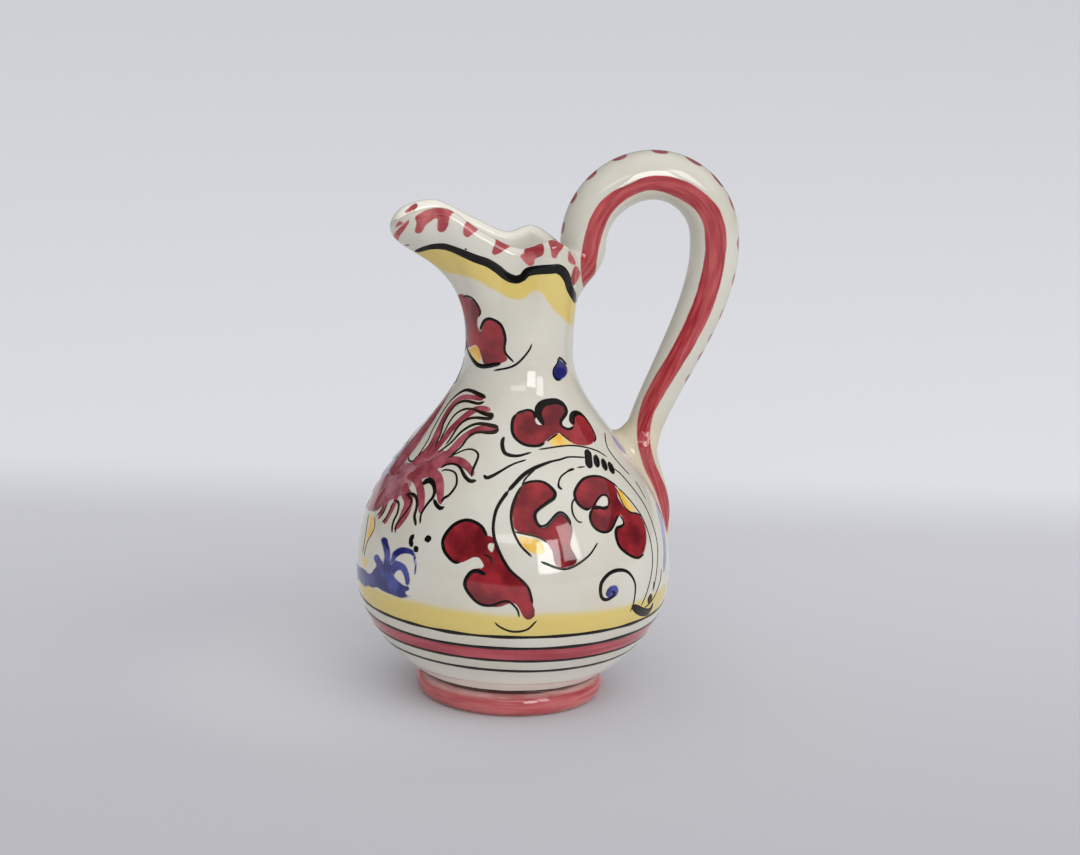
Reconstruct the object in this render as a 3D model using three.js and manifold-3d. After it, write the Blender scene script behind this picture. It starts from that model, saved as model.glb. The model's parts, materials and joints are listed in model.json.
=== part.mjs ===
// A small glazed creamer: a thrown jug with a pinched, three-lobed mouth drawn out into a spout,
// a foot ring, and a looped strap handle luted on at the back of the rim and on the belly.
//
// Millimetres, +Z up. The jug is modelled round its own axis, standing on z = 0, with the spout
// towards -X and the handle towards +X. At the end the group is moved along X, so that the origin
// is the middle of the space that the jug takes up on the table.

import * as THREE from 'three';
import { mergeVertices } from 'three/addons/utils/BufferGeometryUtils.js';
import Module from 'manifold-3d';

// Belly and neck, with radii to the outside; a pull is the length of a curve's handle there
const BELLY_RADIUS = 38.5;
const BELLY_HEIGHT = 32.2;
const BELLY_PULL_DOWN = 17.2;
const BELLY_PULL_UP = 27.4;
const NECK_RADIUS = 13;
const NECK_HEIGHT = 86.6;
const NECK_PULL_DOWN = 17.2;
const FLOOR_RADIUS = 18.3;
const FLOOR_LIFT = 3.2;
const FLOOR_THICKNESS = 4;
const WALL = 3.2;

// Mouth: outside widths, reaches from the axis, and heights of the crest above the neck. The pinch
// is skewed, a little lower on one side than on the other.
const LIP_THICKNESS = 3.8;
const SPOUT_REACH = 32.2;
const SPOUT_TIP_RISE = 31.6;
const SPOUT_NOSE_LENGTH = 4.5;
const SPOUT_NOSE_WIDTH = 12.6;
const SPOUT_CREST_REACH = 20.5;
const SPOUT_CREST_RISE = 35.3;
const SPOUT_WIDTH = 16.4;
const THROAT_REACH = 11.3;
const THROAT_RISE = 30.4;
const THROAT_WIDTH = 18.2;
const PINCH_REACH = 2;
const PINCH_RISE = 26.4;
const PINCH_WIDTH = 19.6;
const PINCH_SKEW = 0.7;
const LOBE_REACH = 5;
const LOBE_RISE = 28.1;
const LOBE_WIDTH = 24.8;
const CORNER_REACH = 10.4;
const CORNER_WIDTH = 17;
const BACK_REACH = 13.8;
const BACK_RISE = 20.5;

// Foot ring
const FOOT_RADIUS = 23.1;
const FOOT_EDGE_RADIUS = 21.2;
const FOOT_BORE_RADIUS = 16.2;
const FOOT_WIDEST_HEIGHT = 3.7;
const FOOT_CREASE_HEIGHT = 5.9;

// Handle: the middle line of the strap, then its section as depth, seen from the side, and width
const ARCH_RADIUS = 16.2;
const ARCH_LIFT = 5.2;
const SPRING_OFFSET = 1.7;
const ROOT_DROP = 10.5;
const SWEEP_BULGE = 1.5;
const SWEEP_LEAN = 1.8;
const JOINT_HEIGHT = 62;
const JOINT_STANDOFF = 4.5;
const TONGUE_STANDOFF = 4.2;
const TONGUE_TIP_HEIGHT = 36;
const TONGUE_TIP_SINK = 0.8;
const STRAP_DEPTH = 12;
const STRAP_WIDTH = 11.6;
const JOINT_DEPTH = 8.4;
const JOINT_WIDTH = 10.4;
const TIP_DEPTH = 3;
const TIP_WIDTH = 3.6;

// Luting: soft clay pressed into the angles under both ends of the handle. It is thin at its edges,
// thickest where strap and body meet, and wraps the strap past its middle by the heart's share of
// the strap's half depth.
const LUTING_LENGTH = 6;
const LUTING_EDGE = 0.8;
const UPPER_LUTING_REACH = 1.6;
const LOWER_LUTING_REACH = 2.6;
const LUTING_HEART = 0.3;

// Clearance between pieces that are made separately
const GAP = 0.3;

// Finishes: a warm white tin glaze, and the red wash under the glaze of the foot
const GLAZE = { color: 0xf1ede2, roughness: 0.12 };
const RED_WASH = { color: 0xc0605f, roughness: 0.2 };

// Pulls of the mouth's wall at the neck and under the lip, as shares of its rise: the first is for
// a plain stretch of the rim, the second for the tip of the spout
const OUTER_NECK_PULLS = [0.5, 0.82];
const OUTER_LIP_PULLS = [0.26, 0.26];
const INNER_NECK_PULLS = [0.5, 0.92];
const INNER_LIP_PULLS = [0.26, 0.12];

// Bends of the handle, as shares of its root and of its long sweep
const ROOT_BENDS = [0.6, 0.4];
const SWEEP_BENDS = [0.33, 0.25];

// Facets
const AROUND = 60;
const LOWER_BELLY_STEPS = 7;
const UPPER_BELLY_STEPS = 11;
const INNER_BELLY_STEPS = 9;
const OUTER_MOUTH_STEPS = 9;
const INNER_MOUTH_STEPS = 7;
const LIP_STEPS = 4;
const FOOT_STEPS = 6;
const SEAT_STEPS = 20;
const STRAP_SIDES = 16;
const STRAP_STEPS = 48;
const LUTING_STEPS = 12;
const FINE_STEPS = 120;

const UP = new THREE.Vector3(0, 0, 1);
const LIP_RADIUS = LIP_THICKNESS / 2;
const QUARTER_CIRCLE_PULL = 0.5523;
const wasm = await Module();
wasm.setup();

// A closed surface through a stack of rings that hold equally many points in the same order.
function loft(rings, startPole, endPole) {
  const count = rings[0].length;
  const positions = [...rings.flat(), startPole, endPole].flatMap((point) => point.toArray());
  const start = rings.length * count;
  const end = start + 1;
  const last = start - count;
  const index = [];
  for (let i = 0; i < count; i += 1) {
    const next = (i + 1) % count;
    index.push(start, next, i);
    for (let row = 0; row < last; row += count) {
      index.push(row + i, row + next, row + count + next);
      index.push(row + i, row + count + next, row + count + i);
    }
    index.push(end, last + i, last + next);
  }
  const geometry = new THREE.BufferGeometry();
  geometry.setAttribute('position', new THREE.Float32BufferAttribute(positions, 3));
  geometry.setIndex(index);
  return geometry;
}

function toSolid(geometry) {
  const bare = geometry.clone();
  bare.deleteAttribute('normal');
  bare.deleteAttribute('uv');
  const merged = mergeVertices(bare);
  const vertProperties = new Float32Array(merged.attributes.position.array);
  const triVerts = new Uint32Array(merged.index.array);
  return new wasm.Manifold(new wasm.Mesh({ numProp: 3, vertProperties, triVerts }));
}

function toGeometry(solid) {
  const mesh = solid.getMesh();
  const geometry = new THREE.BufferGeometry();
  geometry.setAttribute('position', new THREE.Float32BufferAttribute(mesh.vertProperties, 3));
  geometry.setIndex(Array.from(mesh.triVerts));
  return geometry;
}

function clayMesh(name, geometry, finish) {
  const mesh = new THREE.Mesh(geometry, new THREE.MeshStandardMaterial({ ...finish, metalness: 0 }));
  mesh.name = name;
  return mesh;
}

// Meridian of the body, from the edge of its floor to the neck: x is a radius and y a height.
const lowerBelly = new THREE.CubicBezierCurve(
  new THREE.Vector2(FLOOR_RADIUS, FLOOR_LIFT),
  new THREE.Vector2(FLOOR_RADIUS + FLOOR_LIFT, 2 * FLOOR_LIFT),
  new THREE.Vector2(BELLY_RADIUS, BELLY_HEIGHT - BELLY_PULL_DOWN),
  new THREE.Vector2(BELLY_RADIUS, BELLY_HEIGHT),
);
const upperBelly = new THREE.CubicBezierCurve(
  new THREE.Vector2(BELLY_RADIUS, BELLY_HEIGHT),
  new THREE.Vector2(BELLY_RADIUS, BELLY_HEIGHT + BELLY_PULL_UP),
  new THREE.Vector2(NECK_RADIUS, NECK_HEIGHT - NECK_PULL_DOWN),
  new THREE.Vector2(NECK_RADIUS, NECK_HEIGHT),
);

// Points on the meridian, moved outwards along its normal by a distance, or inwards if negative.
function meridian(lowerSteps, upperSteps, distance) {
  const along = (curve, steps) => Array.from({ length: steps + 1 }, (unused, k) => {
    const point = curve.getPoint(k / steps);
    const tangent = curve.getTangent(k / steps);
    return new THREE.Vector2(point.x + distance * tangent.y, point.y - distance * tangent.x);
  });
  return [...along(lowerBelly, lowerSteps), ...along(upperBelly, upperSteps).slice(1)];
}

// Outside radius of the body at a height above its floor; past the neck it stays the neck's.
const fineMeridian = meridian(FINE_STEPS, FINE_STEPS, 0);
function bodyRadius(height) {
  if (height >= NECK_HEIGHT) {
    return NECK_RADIUS;
  }
  const above = fineMeridian.findIndex((point) => point.y >= height);
  const low = fineMeridian[above - 1];
  const high = fineMeridian[above];
  return THREE.MathUtils.mapLinear(height, low.y, high.y, low.x, high.x);
}

// Crest of the rim: a closed curve from the tip of the spout along one side to the back, and
// along the other side to the tip again.
function rimCrest() {
  const side = [
    [-SPOUT_REACH + LIP_RADIUS, 0, SPOUT_TIP_RISE, 0],
    [-SPOUT_REACH + SPOUT_NOSE_LENGTH, SPOUT_NOSE_WIDTH, (SPOUT_TIP_RISE + 2 * SPOUT_CREST_RISE) / 3, 0],
    [-SPOUT_CREST_REACH, SPOUT_WIDTH, SPOUT_CREST_RISE, 0],
    [-THROAT_REACH, THROAT_WIDTH, THROAT_RISE, PINCH_SKEW],
    [-PINCH_REACH, PINCH_WIDTH, PINCH_RISE, PINCH_SKEW],
    [LOBE_REACH, LOBE_WIDTH, LOBE_RISE, 0],
    [CORNER_REACH, CORNER_WIDTH, (LOBE_RISE + BACK_RISE) / 2, 0],
    [BACK_REACH - LIP_RADIUS, 0, BACK_RISE, 0],
  ];
  const place = (sign) => ([x, width, rise, skew]) => {
    const y = width > 0 ? sign * (width / 2 - LIP_RADIUS) : 0;
    return new THREE.Vector3(x, y, NECK_HEIGHT + rise + sign * skew);
  };
  const near = side.map(place(-1));
  const far = side.slice(1, -1).reverse().map(place(1));
  return new THREE.CatmullRomCurve3([...near, ...far], true, 'centripetal');
}

// Spokes of the mouth, one for each step along the crest: its bearing from the axis, the middle of
// the half-round lip, the outward direction there, and how far the rim is drawn out into the spout.
const crestCurve = rimCrest();
const spokes = Array.from({ length: AROUND }, (unused, i) => {
  const crest = crestCurve.getPointAt(i / AROUND);
  const tangent = crestCurve.getTangentAt(i / AROUND);
  const outward = new THREE.Vector3(tangent.y, -tangent.x, 0).normalize();
  const reach = Math.hypot(crest.x, crest.y);
  return {
    bearing: Math.atan2(crest.y, crest.x),
    lip: crest.clone().addScaledVector(UP, -LIP_RADIUS),
    outward,
    drawn: THREE.MathUtils.smoothstep(reach, NECK_RADIUS, SPOUT_REACH - LIP_RADIUS),
  };
});

function circle(radius, height) {
  return spokes.map(({ bearing }) => new THREE.Vector3(
    radius * Math.cos(bearing),
    radius * Math.sin(bearing),
    height,
  ));
}

// Rings of the mouth's wall from just above the neck to the edge of the lip. Each spoke is a curve
// that leaves the neck upright and comes up to the lip nearly upright.
function mouthWall(neckRadius, lipOffset, steps, neckPulls, lipPulls) {
  const neck = circle(neckRadius, NECK_HEIGHT);
  const walls = spokes.map(({ lip, outward, drawn }, i) => {
    const edge = lip.clone().addScaledVector(outward, lipOffset);
    const rise = edge.z - NECK_HEIGHT;
    const overNeck = neck[i].clone().addScaledVector(UP, rise * THREE.MathUtils.lerp(...neckPulls, drawn));
    const underLip = edge.clone().addScaledVector(UP, -rise * THREE.MathUtils.lerp(...lipPulls, drawn));
    underLip.addScaledVector(outward, -drawn * LIP_RADIUS / 2);
    return new THREE.CubicBezierCurve3(neck[i], overNeck, underLip, edge);
  });
  return Array.from({ length: steps }, (unused, k) => walls.map((wall) => wall.getPoint((k + 1) / steps)));
}

function outerMouth(clearance) {
  const radius = NECK_RADIUS + clearance;
  return mouthWall(radius, LIP_RADIUS + clearance, OUTER_MOUTH_STEPS, OUTER_NECK_PULLS, OUTER_LIP_PULLS);
}

function innerMouth() {
  const radius = NECK_RADIUS - WALL;
  return mouthWall(radius, -LIP_RADIUS, INNER_MOUTH_STEPS, INNER_NECK_PULLS, INNER_LIP_PULLS);
}

// Rings over the half-round lip, between its outer and its inner edge.
function lipRings(radius, lastStep) {
  return Array.from({ length: lastStep }, (unused, k) => {
    const angle = ((k + 1) * Math.PI) / LIP_STEPS;
    return spokes.map(({ lip, outward }) => lip.clone()
      .addScaledVector(outward, radius * Math.cos(angle))
      .addScaledVector(UP, radius * Math.sin(angle)));
  });
}

// The body is one skin: up the outside, over the lip and down the inside to the floor.
function bodyGeometry() {
  const innerFloor = FLOOR_LIFT + FLOOR_THICKNESS;
  const outside = meridian(LOWER_BELLY_STEPS, UPPER_BELLY_STEPS, 0);
  const inside = meridian(LOWER_BELLY_STEPS, INNER_BELLY_STEPS, -WALL)
    .filter((point) => point.y > innerFloor + WALL / 2);
  const floorEdge = new THREE.Vector2(inside[0].x - WALL, innerFloor);
  const rings = [
    ...outside.map((point) => circle(point.x, point.y)),
    ...outerMouth(0),
    ...lipRings(LIP_RADIUS, LIP_STEPS - 1),
    ...innerMouth().reverse(),
    ...inside.reverse().map((point) => circle(point.x, point.y)),
    circle(floorEdge.x, floorEdge.y),
  ];
  return loft(rings, new THREE.Vector3(0, 0, FLOOR_LIFT), new THREE.Vector3(0, 0, innerFloor));
}

// The space of the body with all that it encloses, grown by the clearance. It trims what is luted on.
function bodySpace() {
  const rings = [
    ...meridian(LOWER_BELLY_STEPS, UPPER_BELLY_STEPS, GAP).map((point) => circle(point.x, point.y)),
    ...outerMouth(GAP),
    ...lipRings(LIP_RADIUS + GAP, LIP_STEPS / 2),
  ];
  const mouthTop = new THREE.Vector3(0, 0, NECK_HEIGHT + PINCH_RISE);
  return toSolid(loft(rings, new THREE.Vector3(0, 0, FLOOR_LIFT - GAP), mouthTop));
}

// The foot ring is rounded outside, flat underneath, and hollowed on top to seat the round belly.
function footGeometry() {
  const seat = meridian(SEAT_STEPS, SEAT_STEPS, GAP).filter((point) => point.y < FOOT_CREASE_HEIGHT);
  const side = new THREE.SplineCurve([
    new THREE.Vector2(FOOT_EDGE_RADIUS, 0),
    new THREE.Vector2((FOOT_EDGE_RADIUS + 3 * FOOT_RADIUS) / 4, FOOT_WIDEST_HEIGHT / 3),
    new THREE.Vector2(FOOT_RADIUS, FOOT_WIDEST_HEIGHT),
    seat[seat.length - 1],
  ]);
  const floorSeat = new THREE.Vector2(FOOT_BORE_RADIUS, FLOOR_LIFT - GAP);
  const bore = new THREE.Vector2(FOOT_BORE_RADIUS, 0);
  const profile = [bore, ...side.getPoints(FOOT_STEPS), ...seat.slice(0, -1).reverse(), floorSeat, bore];
  return new THREE.LatheGeometry(profile, AROUND).rotateX(Math.PI / 2);
}

// Middle line of the strap: up out of the rim, over a half-round arch, down in a long sweep to the
// belly, and on down the belly as a tongue.
function strapPath() {
  const springX = BACK_REACH + SPRING_OFFSET;
  const springZ = NECK_HEIGHT + BACK_RISE + ARCH_LIFT;
  const archX = springX + ARCH_RADIUS;
  const archZ = springZ + ARCH_RADIUS;
  const farX = archX + ARCH_RADIUS;
  const pull = QUARTER_CIRCLE_PULL * ARCH_RADIUS;
  const fall = springZ - JOINT_HEIGHT;
  const jointX = bodyRadius(JOINT_HEIGHT) + JOINT_STANDOFF;
  const tongueZ = (JOINT_HEIGHT + TONGUE_TIP_HEIGHT) / 2;
  const tongueX = bodyRadius(tongueZ) + TONGUE_STANDOFF;
  const tipX = bodyRadius(TONGUE_TIP_HEIGHT) - TONGUE_TIP_SINK;
  const sweeps = [
    [NECK_RADIUS / 2, springZ - ROOT_DROP, NECK_RADIUS, springZ - ROOT_BENDS[0] * ROOT_DROP,
      springX, springZ - ROOT_BENDS[1] * ROOT_DROP, springX, springZ],
    [springX, springZ, springX, springZ + pull, archX - pull, archZ, archX, archZ],
    [archX, archZ, archX + pull, archZ, farX, springZ + pull, farX, springZ],
    [farX, springZ, farX + SWEEP_BULGE, springZ - SWEEP_BENDS[0] * fall,
      jointX + SWEEP_LEAN, JOINT_HEIGHT + SWEEP_BENDS[1] * fall, jointX, JOINT_HEIGHT],
    [jointX, JOINT_HEIGHT, jointX, (JOINT_HEIGHT + tongueZ) / 2, tongueX, tongueZ, tipX, TONGUE_TIP_HEIGHT],
  ];
  const path = new THREE.CurvePath();
  for (const [x0, z0, x1, z1, x2, z2, x3, z3] of sweeps) {
    path.add(new THREE.CubicBezierCurve3(
      new THREE.Vector3(x0, 0, z0),
      new THREE.Vector3(x1, 0, z1),
      new THREE.Vector3(x2, 0, z2),
      new THREE.Vector3(x3, 0, z3),
    ));
  }
  return path;
}

const strapLine = strapPath();
const strapLengths = strapLine.getCurveLengths();
const strapLength = strapLengths[4];
const archShare = strapLengths[2] / strapLength;
const jointShare = strapLengths[3] / strapLength;

// One station on the strap: its middle, the direction into the loop, and its half depth and width.
function strapStation(share) {
  const tangent = strapLine.getTangentAt(share);
  const size = (atArch, atJoint, atTip) => {
    const thinned = THREE.MathUtils.smoothstep(share, archShare, jointShare);
    const sweep = THREE.MathUtils.lerp(atArch, atJoint, thinned);
    const tongue = THREE.MathUtils.lerp(atJoint, atTip, (share - jointShare) / (1 - jointShare));
    return (share < jointShare ? sweep : tongue) / 2;
  };
  return {
    middle: strapLine.getPointAt(share),
    inwards: new THREE.Vector3(tangent.z, 0, -tangent.x).normalize(),
    depth: size(STRAP_DEPTH, JOINT_DEPTH, TIP_DEPTH),
    width: size(STRAP_WIDTH, JOINT_WIDTH, TIP_WIDTH),
  };
}

// The strap as a loft of ovals, grown by a clearance.
function strapSolid(clearance) {
  const stations = Array.from({ length: STRAP_STEPS + 1 }, (unused, k) => strapStation(k / STRAP_STEPS));
  const rings = stations.map(({ middle, inwards, depth, width }) => {
    return Array.from({ length: STRAP_SIDES }, (unused, i) => {
      const angle = (2 * Math.PI * i) / STRAP_SIDES;
      const point = middle.clone().addScaledVector(inwards, (depth + clearance) * Math.cos(angle));
      point.y += (width + clearance) * Math.sin(angle);
      return point;
    });
  });
  return toSolid(loft(rings, stations[0].middle, stations[STRAP_STEPS].middle));
}

// Share of the strap, searched from one end of a range, where its inner face meets the body.
function meetingShare(from, to) {
  for (let k = 0; k <= FINE_STEPS; k += 1) {
    const share = THREE.MathUtils.lerp(from, to, k / FINE_STEPS);
    const { middle, inwards, depth } = strapStation(share);
    const face = middle.clone().addScaledVector(inwards, depth);
    if (face.x < bodyRadius(face.z)) {
      return share;
    }
  }
  return to;
}

// Luting in the angle between the strap and the body: a sleeve round the inner face of the strap,
// thin at both ends and thickest at a peak share, trimmed by the strap and by the body.
function lutingSolid(startShare, peakShare, endShare, reach) {
  const stations = Array.from({ length: LUTING_STEPS + 1 }, (unused, k) => {
    const share = THREE.MathUtils.lerp(startShare, endShare, k / LUTING_STEPS);
    const rise = (share - startShare) / (peakShare - startShare);
    const fall = (share - endShare) / (peakShare - endShare);
    const swell = THREE.MathUtils.smootherstep(Math.min(rise, fall), 0, 1);
    return { ...strapStation(share), margin: THREE.MathUtils.lerp(LUTING_EDGE, reach, swell) };
  });
  const rings = stations.map(({ middle, inwards, depth, width, margin }) => {
    const face = depth + margin;
    const heart = depth * LUTING_HEART;
    return Array.from({ length: STRAP_SIDES }, (unused, i) => {
      const angle = (2 * Math.PI * i) / STRAP_SIDES;
      const inward = (face - heart) / 2 + ((face + heart) / 2) * Math.cos(angle);
      const point = middle.clone().addScaledVector(inwards, inward);
      point.y += (width + margin / 2) * Math.sin(angle);
      return point;
    });
  });
  const sleeve = loft(rings, stations[0].middle, stations[LUTING_STEPS].middle);
  return toSolid(sleeve).subtract(grownStrap).subtract(space);
}

const space = bodySpace();
const grownStrap = strapSolid(GAP);
const lutingShare = LUTING_LENGTH / strapLength;
const rootShare = meetingShare(strapLengths[0] / strapLength, 0);
const upperLuting = lutingSolid(0, rootShare, rootShare + lutingShare, UPPER_LUTING_REACH);
const bellyShare = meetingShare(archShare, jointShare);
const lowerStart = bellyShare - lutingShare;
const lowerLuting = lutingSolid(lowerStart, bellyShare, bellyShare + lutingShare, LOWER_LUTING_REACH);

const creamer = new THREE.Group();
creamer.add(clayMesh('body', bodyGeometry(), GLAZE));
creamer.add(clayMesh('foot_ring', footGeometry(), RED_WASH));
creamer.add(clayMesh('handle', toGeometry(strapSolid(0).subtract(space)), GLAZE));
creamer.add(clayMesh('upper_luting', toGeometry(upperLuting), GLAZE));
creamer.add(clayMesh('lower_luting', toGeometry(lowerLuting), GLAZE));

const middle = new THREE.Box3().setFromObject(creamer).getCenter(new THREE.Vector3());
creamer.position.x = -middle.x;

export default creamer;
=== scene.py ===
# %% [markdown]
# # A painted creamer
# This scene dresses a packed jug as tin-glazed earthenware: a thrown body with a pinched mouth, a
# turned foot, a pulled handle, and painting done with a loaded brush before the glaze was fired.
# The frame gives the jug's true size and place, so it is loaded and measured first.

# %% Load the jug
import json
import math
import bpy
import numpy as np
from mathutils import Matrix, Vector
from mathutils.bvhtree import BVHTree

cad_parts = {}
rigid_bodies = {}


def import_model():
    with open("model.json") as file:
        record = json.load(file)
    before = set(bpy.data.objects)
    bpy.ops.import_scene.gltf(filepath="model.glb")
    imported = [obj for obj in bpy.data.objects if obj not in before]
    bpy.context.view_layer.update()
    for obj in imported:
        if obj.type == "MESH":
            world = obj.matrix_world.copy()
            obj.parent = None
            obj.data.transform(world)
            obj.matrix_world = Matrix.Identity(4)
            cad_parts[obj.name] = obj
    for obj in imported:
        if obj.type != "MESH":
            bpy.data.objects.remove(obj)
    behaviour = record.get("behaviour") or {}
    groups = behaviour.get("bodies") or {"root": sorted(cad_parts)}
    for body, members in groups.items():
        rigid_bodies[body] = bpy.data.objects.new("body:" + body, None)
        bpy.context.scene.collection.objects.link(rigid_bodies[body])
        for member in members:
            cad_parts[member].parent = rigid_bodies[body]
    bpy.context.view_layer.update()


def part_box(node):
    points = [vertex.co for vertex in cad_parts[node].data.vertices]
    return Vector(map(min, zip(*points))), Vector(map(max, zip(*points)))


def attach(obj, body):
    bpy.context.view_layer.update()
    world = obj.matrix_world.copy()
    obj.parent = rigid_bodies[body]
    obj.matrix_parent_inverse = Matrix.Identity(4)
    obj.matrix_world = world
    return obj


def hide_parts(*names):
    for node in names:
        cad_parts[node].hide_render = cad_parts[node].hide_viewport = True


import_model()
MM = 0.001
foot_low, foot_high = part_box("foot_ring")
AXIS = np.array([(foot_low.x + foot_high.x) / 2 / MM, 0.0, 0.0])

# %% [markdown]
# ## The camera
# The painted rings on the belly are true circles, so the ellipses that they make in a photograph
# tell how high the camera stood and how far away. The same camera later carries the painting over
# from the picture to the clay, so its rule is written once and used for both.

# %% The camera's rule
PICTURE = (1080, 855)  # pixels
FOCAL_PIXELS = 2870.0
CENTRE = np.array([515.2, 453.4])  # pixel that the lens looks at
ROLL = math.radians(1.71)
STANDPOINT = np.array([-152.6, -661.1, 232.1])  # mm round the jug's own axis
FORWARD = np.array([0.21805, 0.94448, -0.24582])
FORWARD /= np.linalg.norm(FORWARD)
RIGHT = np.cross(FORWARD, [0, 0, 1.0])
RIGHT /= np.linalg.norm(RIGHT)
UPWARD = np.cross(RIGHT, FORWARD)
TURN = np.array([[math.cos(ROLL), -math.sin(ROLL)], [math.sin(ROLL), math.cos(ROLL)]])


def to_picture(points):
    """Where points of the jug, in mm round its own axis, fall in the picture."""
    away = points - STANDPOINT
    depth = away @ FORWARD
    flat = np.stack([away @ RIGHT, -(away @ UPWARD)], -1) * FOCAL_PIXELS / depth[..., None]
    return CENTRE + flat @ TURN.T


def from_picture(pixel):
    """Direction from the camera through a place in the picture."""
    x, y = (np.asarray(pixel, float) - CENTRE) @ TURN
    ray = FORWARD + x / FOCAL_PIXELS * RIGHT - y / FOCAL_PIXELS * UPWARD
    return ray / np.linalg.norm(ray)


print("camera stands", round(float(np.linalg.norm(STANDPOINT))), "mm from the jug's foot")

# %% [markdown]
# A Blender camera has a focal length in millimetres, which goes with the width of its sensor, and
# a shift for a picture that is cut off its middle. Both follow from the same few numbers.

# %% Set up the camera
SENSOR_WIDTH = 36.0  # mm


def add_object(name, data):
    """A new object in the scene for a mesh, a curve, a lamp or a camera."""
    added = bpy.data.objects.new(name, data)
    bpy.context.collection.objects.link(added)
    return added


lens = bpy.data.cameras.new("camera")
lens.sensor_fit, lens.sensor_width = "HORIZONTAL", SENSOR_WIDTH
lens.lens = FOCAL_PIXELS / PICTURE[0] * SENSOR_WIDTH
off_middle = (np.array(PICTURE) / 2 - CENTRE) @ TURN / PICTURE[0]
lens.shift_x, lens.shift_y = off_middle[0], -off_middle[1]
lens.clip_start, lens.clip_end = 0.01, 50
camera = add_object("camera", lens)
camera.location = (STANDPOINT + AXIS) * MM
camera.rotation_euler = (Vector(FORWARD).to_track_quat("-Z", "Y").to_matrix().to_4x4()
                         @ Matrix.Rotation(ROLL, 4, "Z")).to_euler()
bpy.context.scene.camera = camera
print("lens", round(lens.lens, 2), "mm, shift", round(lens.shift_x, 4), round(lens.shift_y, 4))

# %% [markdown]
# ## Tools for smooth lines
# A thrown wall and a brush stroke are both smooth runs through a few places. These helpers draw a
# cubic pull curve, and a smooth line or loop through given points.

# %% Helpers for curves


def pull_curve(a, b, c, d, t):
    """Places on the curve from a to d that b and c pull on."""
    t = np.asarray(t)[..., None]
    s = 1 - t
    return s ** 3 * a + 3 * s * s * t * b + 3 * s * t * t * c + t ** 3 * d


def ease(value, low, high):
    """0 up to low, 1 from high on, and a soft change between them."""
    t = np.clip((value - low) / (high - low), 0, 1)
    return t * t * (3 - 2 * t)


def mix(a, b, t):
    return a + (b - a) * t


def smooth_run(points, closed=False, per_span=24):
    """Places on a smooth line through points, with tighter bends at close points."""
    p = np.asarray(points, float)
    if len(p) < 3 and not closed:
        return mix(p[0], p[-1], np.linspace(0, 1, per_span)[:, None])
    before, after = (p[-1:], p[:2]) if closed else (2 * p[0] - p[1], 2 * p[-1] - p[-2])
    ring = np.vstack([before, p, after])
    out = []
    for k in range(len(p) if closed else len(p) - 1):
        p0, p1, p2, p3 = ring[k:k + 4]
        d0, d1, d2 = (max(np.linalg.norm(v), 1e-9) ** 0.5 for v in (p1 - p0, p2 - p1, p3 - p2))
        t1 = ((p1 - p0) / d0 - (p2 - p0) / (d0 + d1) + (p2 - p1) / d1) * d1
        t2 = ((p2 - p1) / d1 - (p3 - p1) / (d1 + d2) + (p3 - p2) / d2) * d1
        out.append(pull_curve(p1, p1 + t1 / 3, p2 - t2 / 3, p2, np.arange(per_span) / per_span))
    return np.vstack(out) if closed else np.vstack(out + [p[-1:]])


print("a pull curve is half way at", pull_curve(0.0, 0.0, 1.0, 1.0, 0.5))

# %% [markdown]
# Meshes and strokes need even steps, so lengths along a line are measured, too.

# %% Helpers for lengths


def unit(vectors):
    """The same directions, one long."""
    return vectors / np.maximum(np.linalg.norm(vectors, axis=1), 1e-9)[:, None]


def way_along(line):
    """How far along a line each of its places lies."""
    return np.r_[0, np.cumsum(np.linalg.norm(np.diff(line, axis=0), axis=1))]


def evenly(run, count, closed=False):
    """Places at even steps along a run."""
    line = np.vstack([run, run[:1]]) if closed else run
    way = way_along(line)
    at = np.linspace(0, way[-1], count, endpoint=not closed)
    return np.stack([np.interp(at, way, line[:, k]) for k in range(line.shape[1])], 1)


print("even steps:", evenly(np.array([(0.0, 0.0), (1.0, 0.0), (4.0, 0.0)]), 3)[:, 0])

# %% [markdown]
# ## The thrown body
# The belly is thrown on a wheel, so it is a turned outline. Only the mouth departs from it: while
# the clay is soft, two fingers pinch the rim into lobes and one pulls the spout. The skin is built
# ring by ring, up the outside, over the rolled lip, and down the inside to the floor.

# %% Outline of the belly
BELLY_RADIUS, BELLY_HEIGHT = 38.5, 32.2
BELLY_PULLS = 17.2, 27.4  # below and above the widest place
NECK_RADIUS, NECK_HEIGHT, NECK_PULL = 13.0, 86.6, 17.2
FLOOR_RADIUS, FLOOR_LIFT, FLOOR_THICKNESS, WALL = 18.3, 3.2, 4.0, 3.2
FINE_STEPS = 200, 400  # below and above the widest place


def belly_outline(low_steps, high_steps, inset=0.0):
    """Radius and height up the belly to the neck, moved inwards by an inset."""
    widest, neck = (BELLY_RADIUS, BELLY_HEIGHT), (NECK_RADIUS, NECK_HEIGHT)
    low = np.array([(FLOOR_RADIUS, FLOOR_LIFT), (FLOOR_RADIUS + FLOOR_LIFT, 2 * FLOOR_LIFT),
                    (BELLY_RADIUS, BELLY_HEIGHT - BELLY_PULLS[0]), widest])
    high = np.array([widest, (BELLY_RADIUS, BELLY_HEIGHT + BELLY_PULLS[1]),
                     (NECK_RADIUS, NECK_HEIGHT - NECK_PULL), neck])
    line = np.vstack([pull_curve(*low, np.linspace(0, 1, low_steps + 1)),
                      pull_curve(*high, np.linspace(0, 1, high_steps + 1))[1:]])
    slope = unit(np.gradient(line, axis=0))
    return line + inset * np.stack([-slope[:, 1], slope[:, 0]], 1)


fine_outline = belly_outline(*FINE_STEPS)


def belly_radius(height):
    return np.interp(height, fine_outline[:, 1], fine_outline[:, 0])


print("belly", 2 * BELLY_RADIUS, "mm wide, neck", 2 * NECK_RADIUS, "mm wide")

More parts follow.
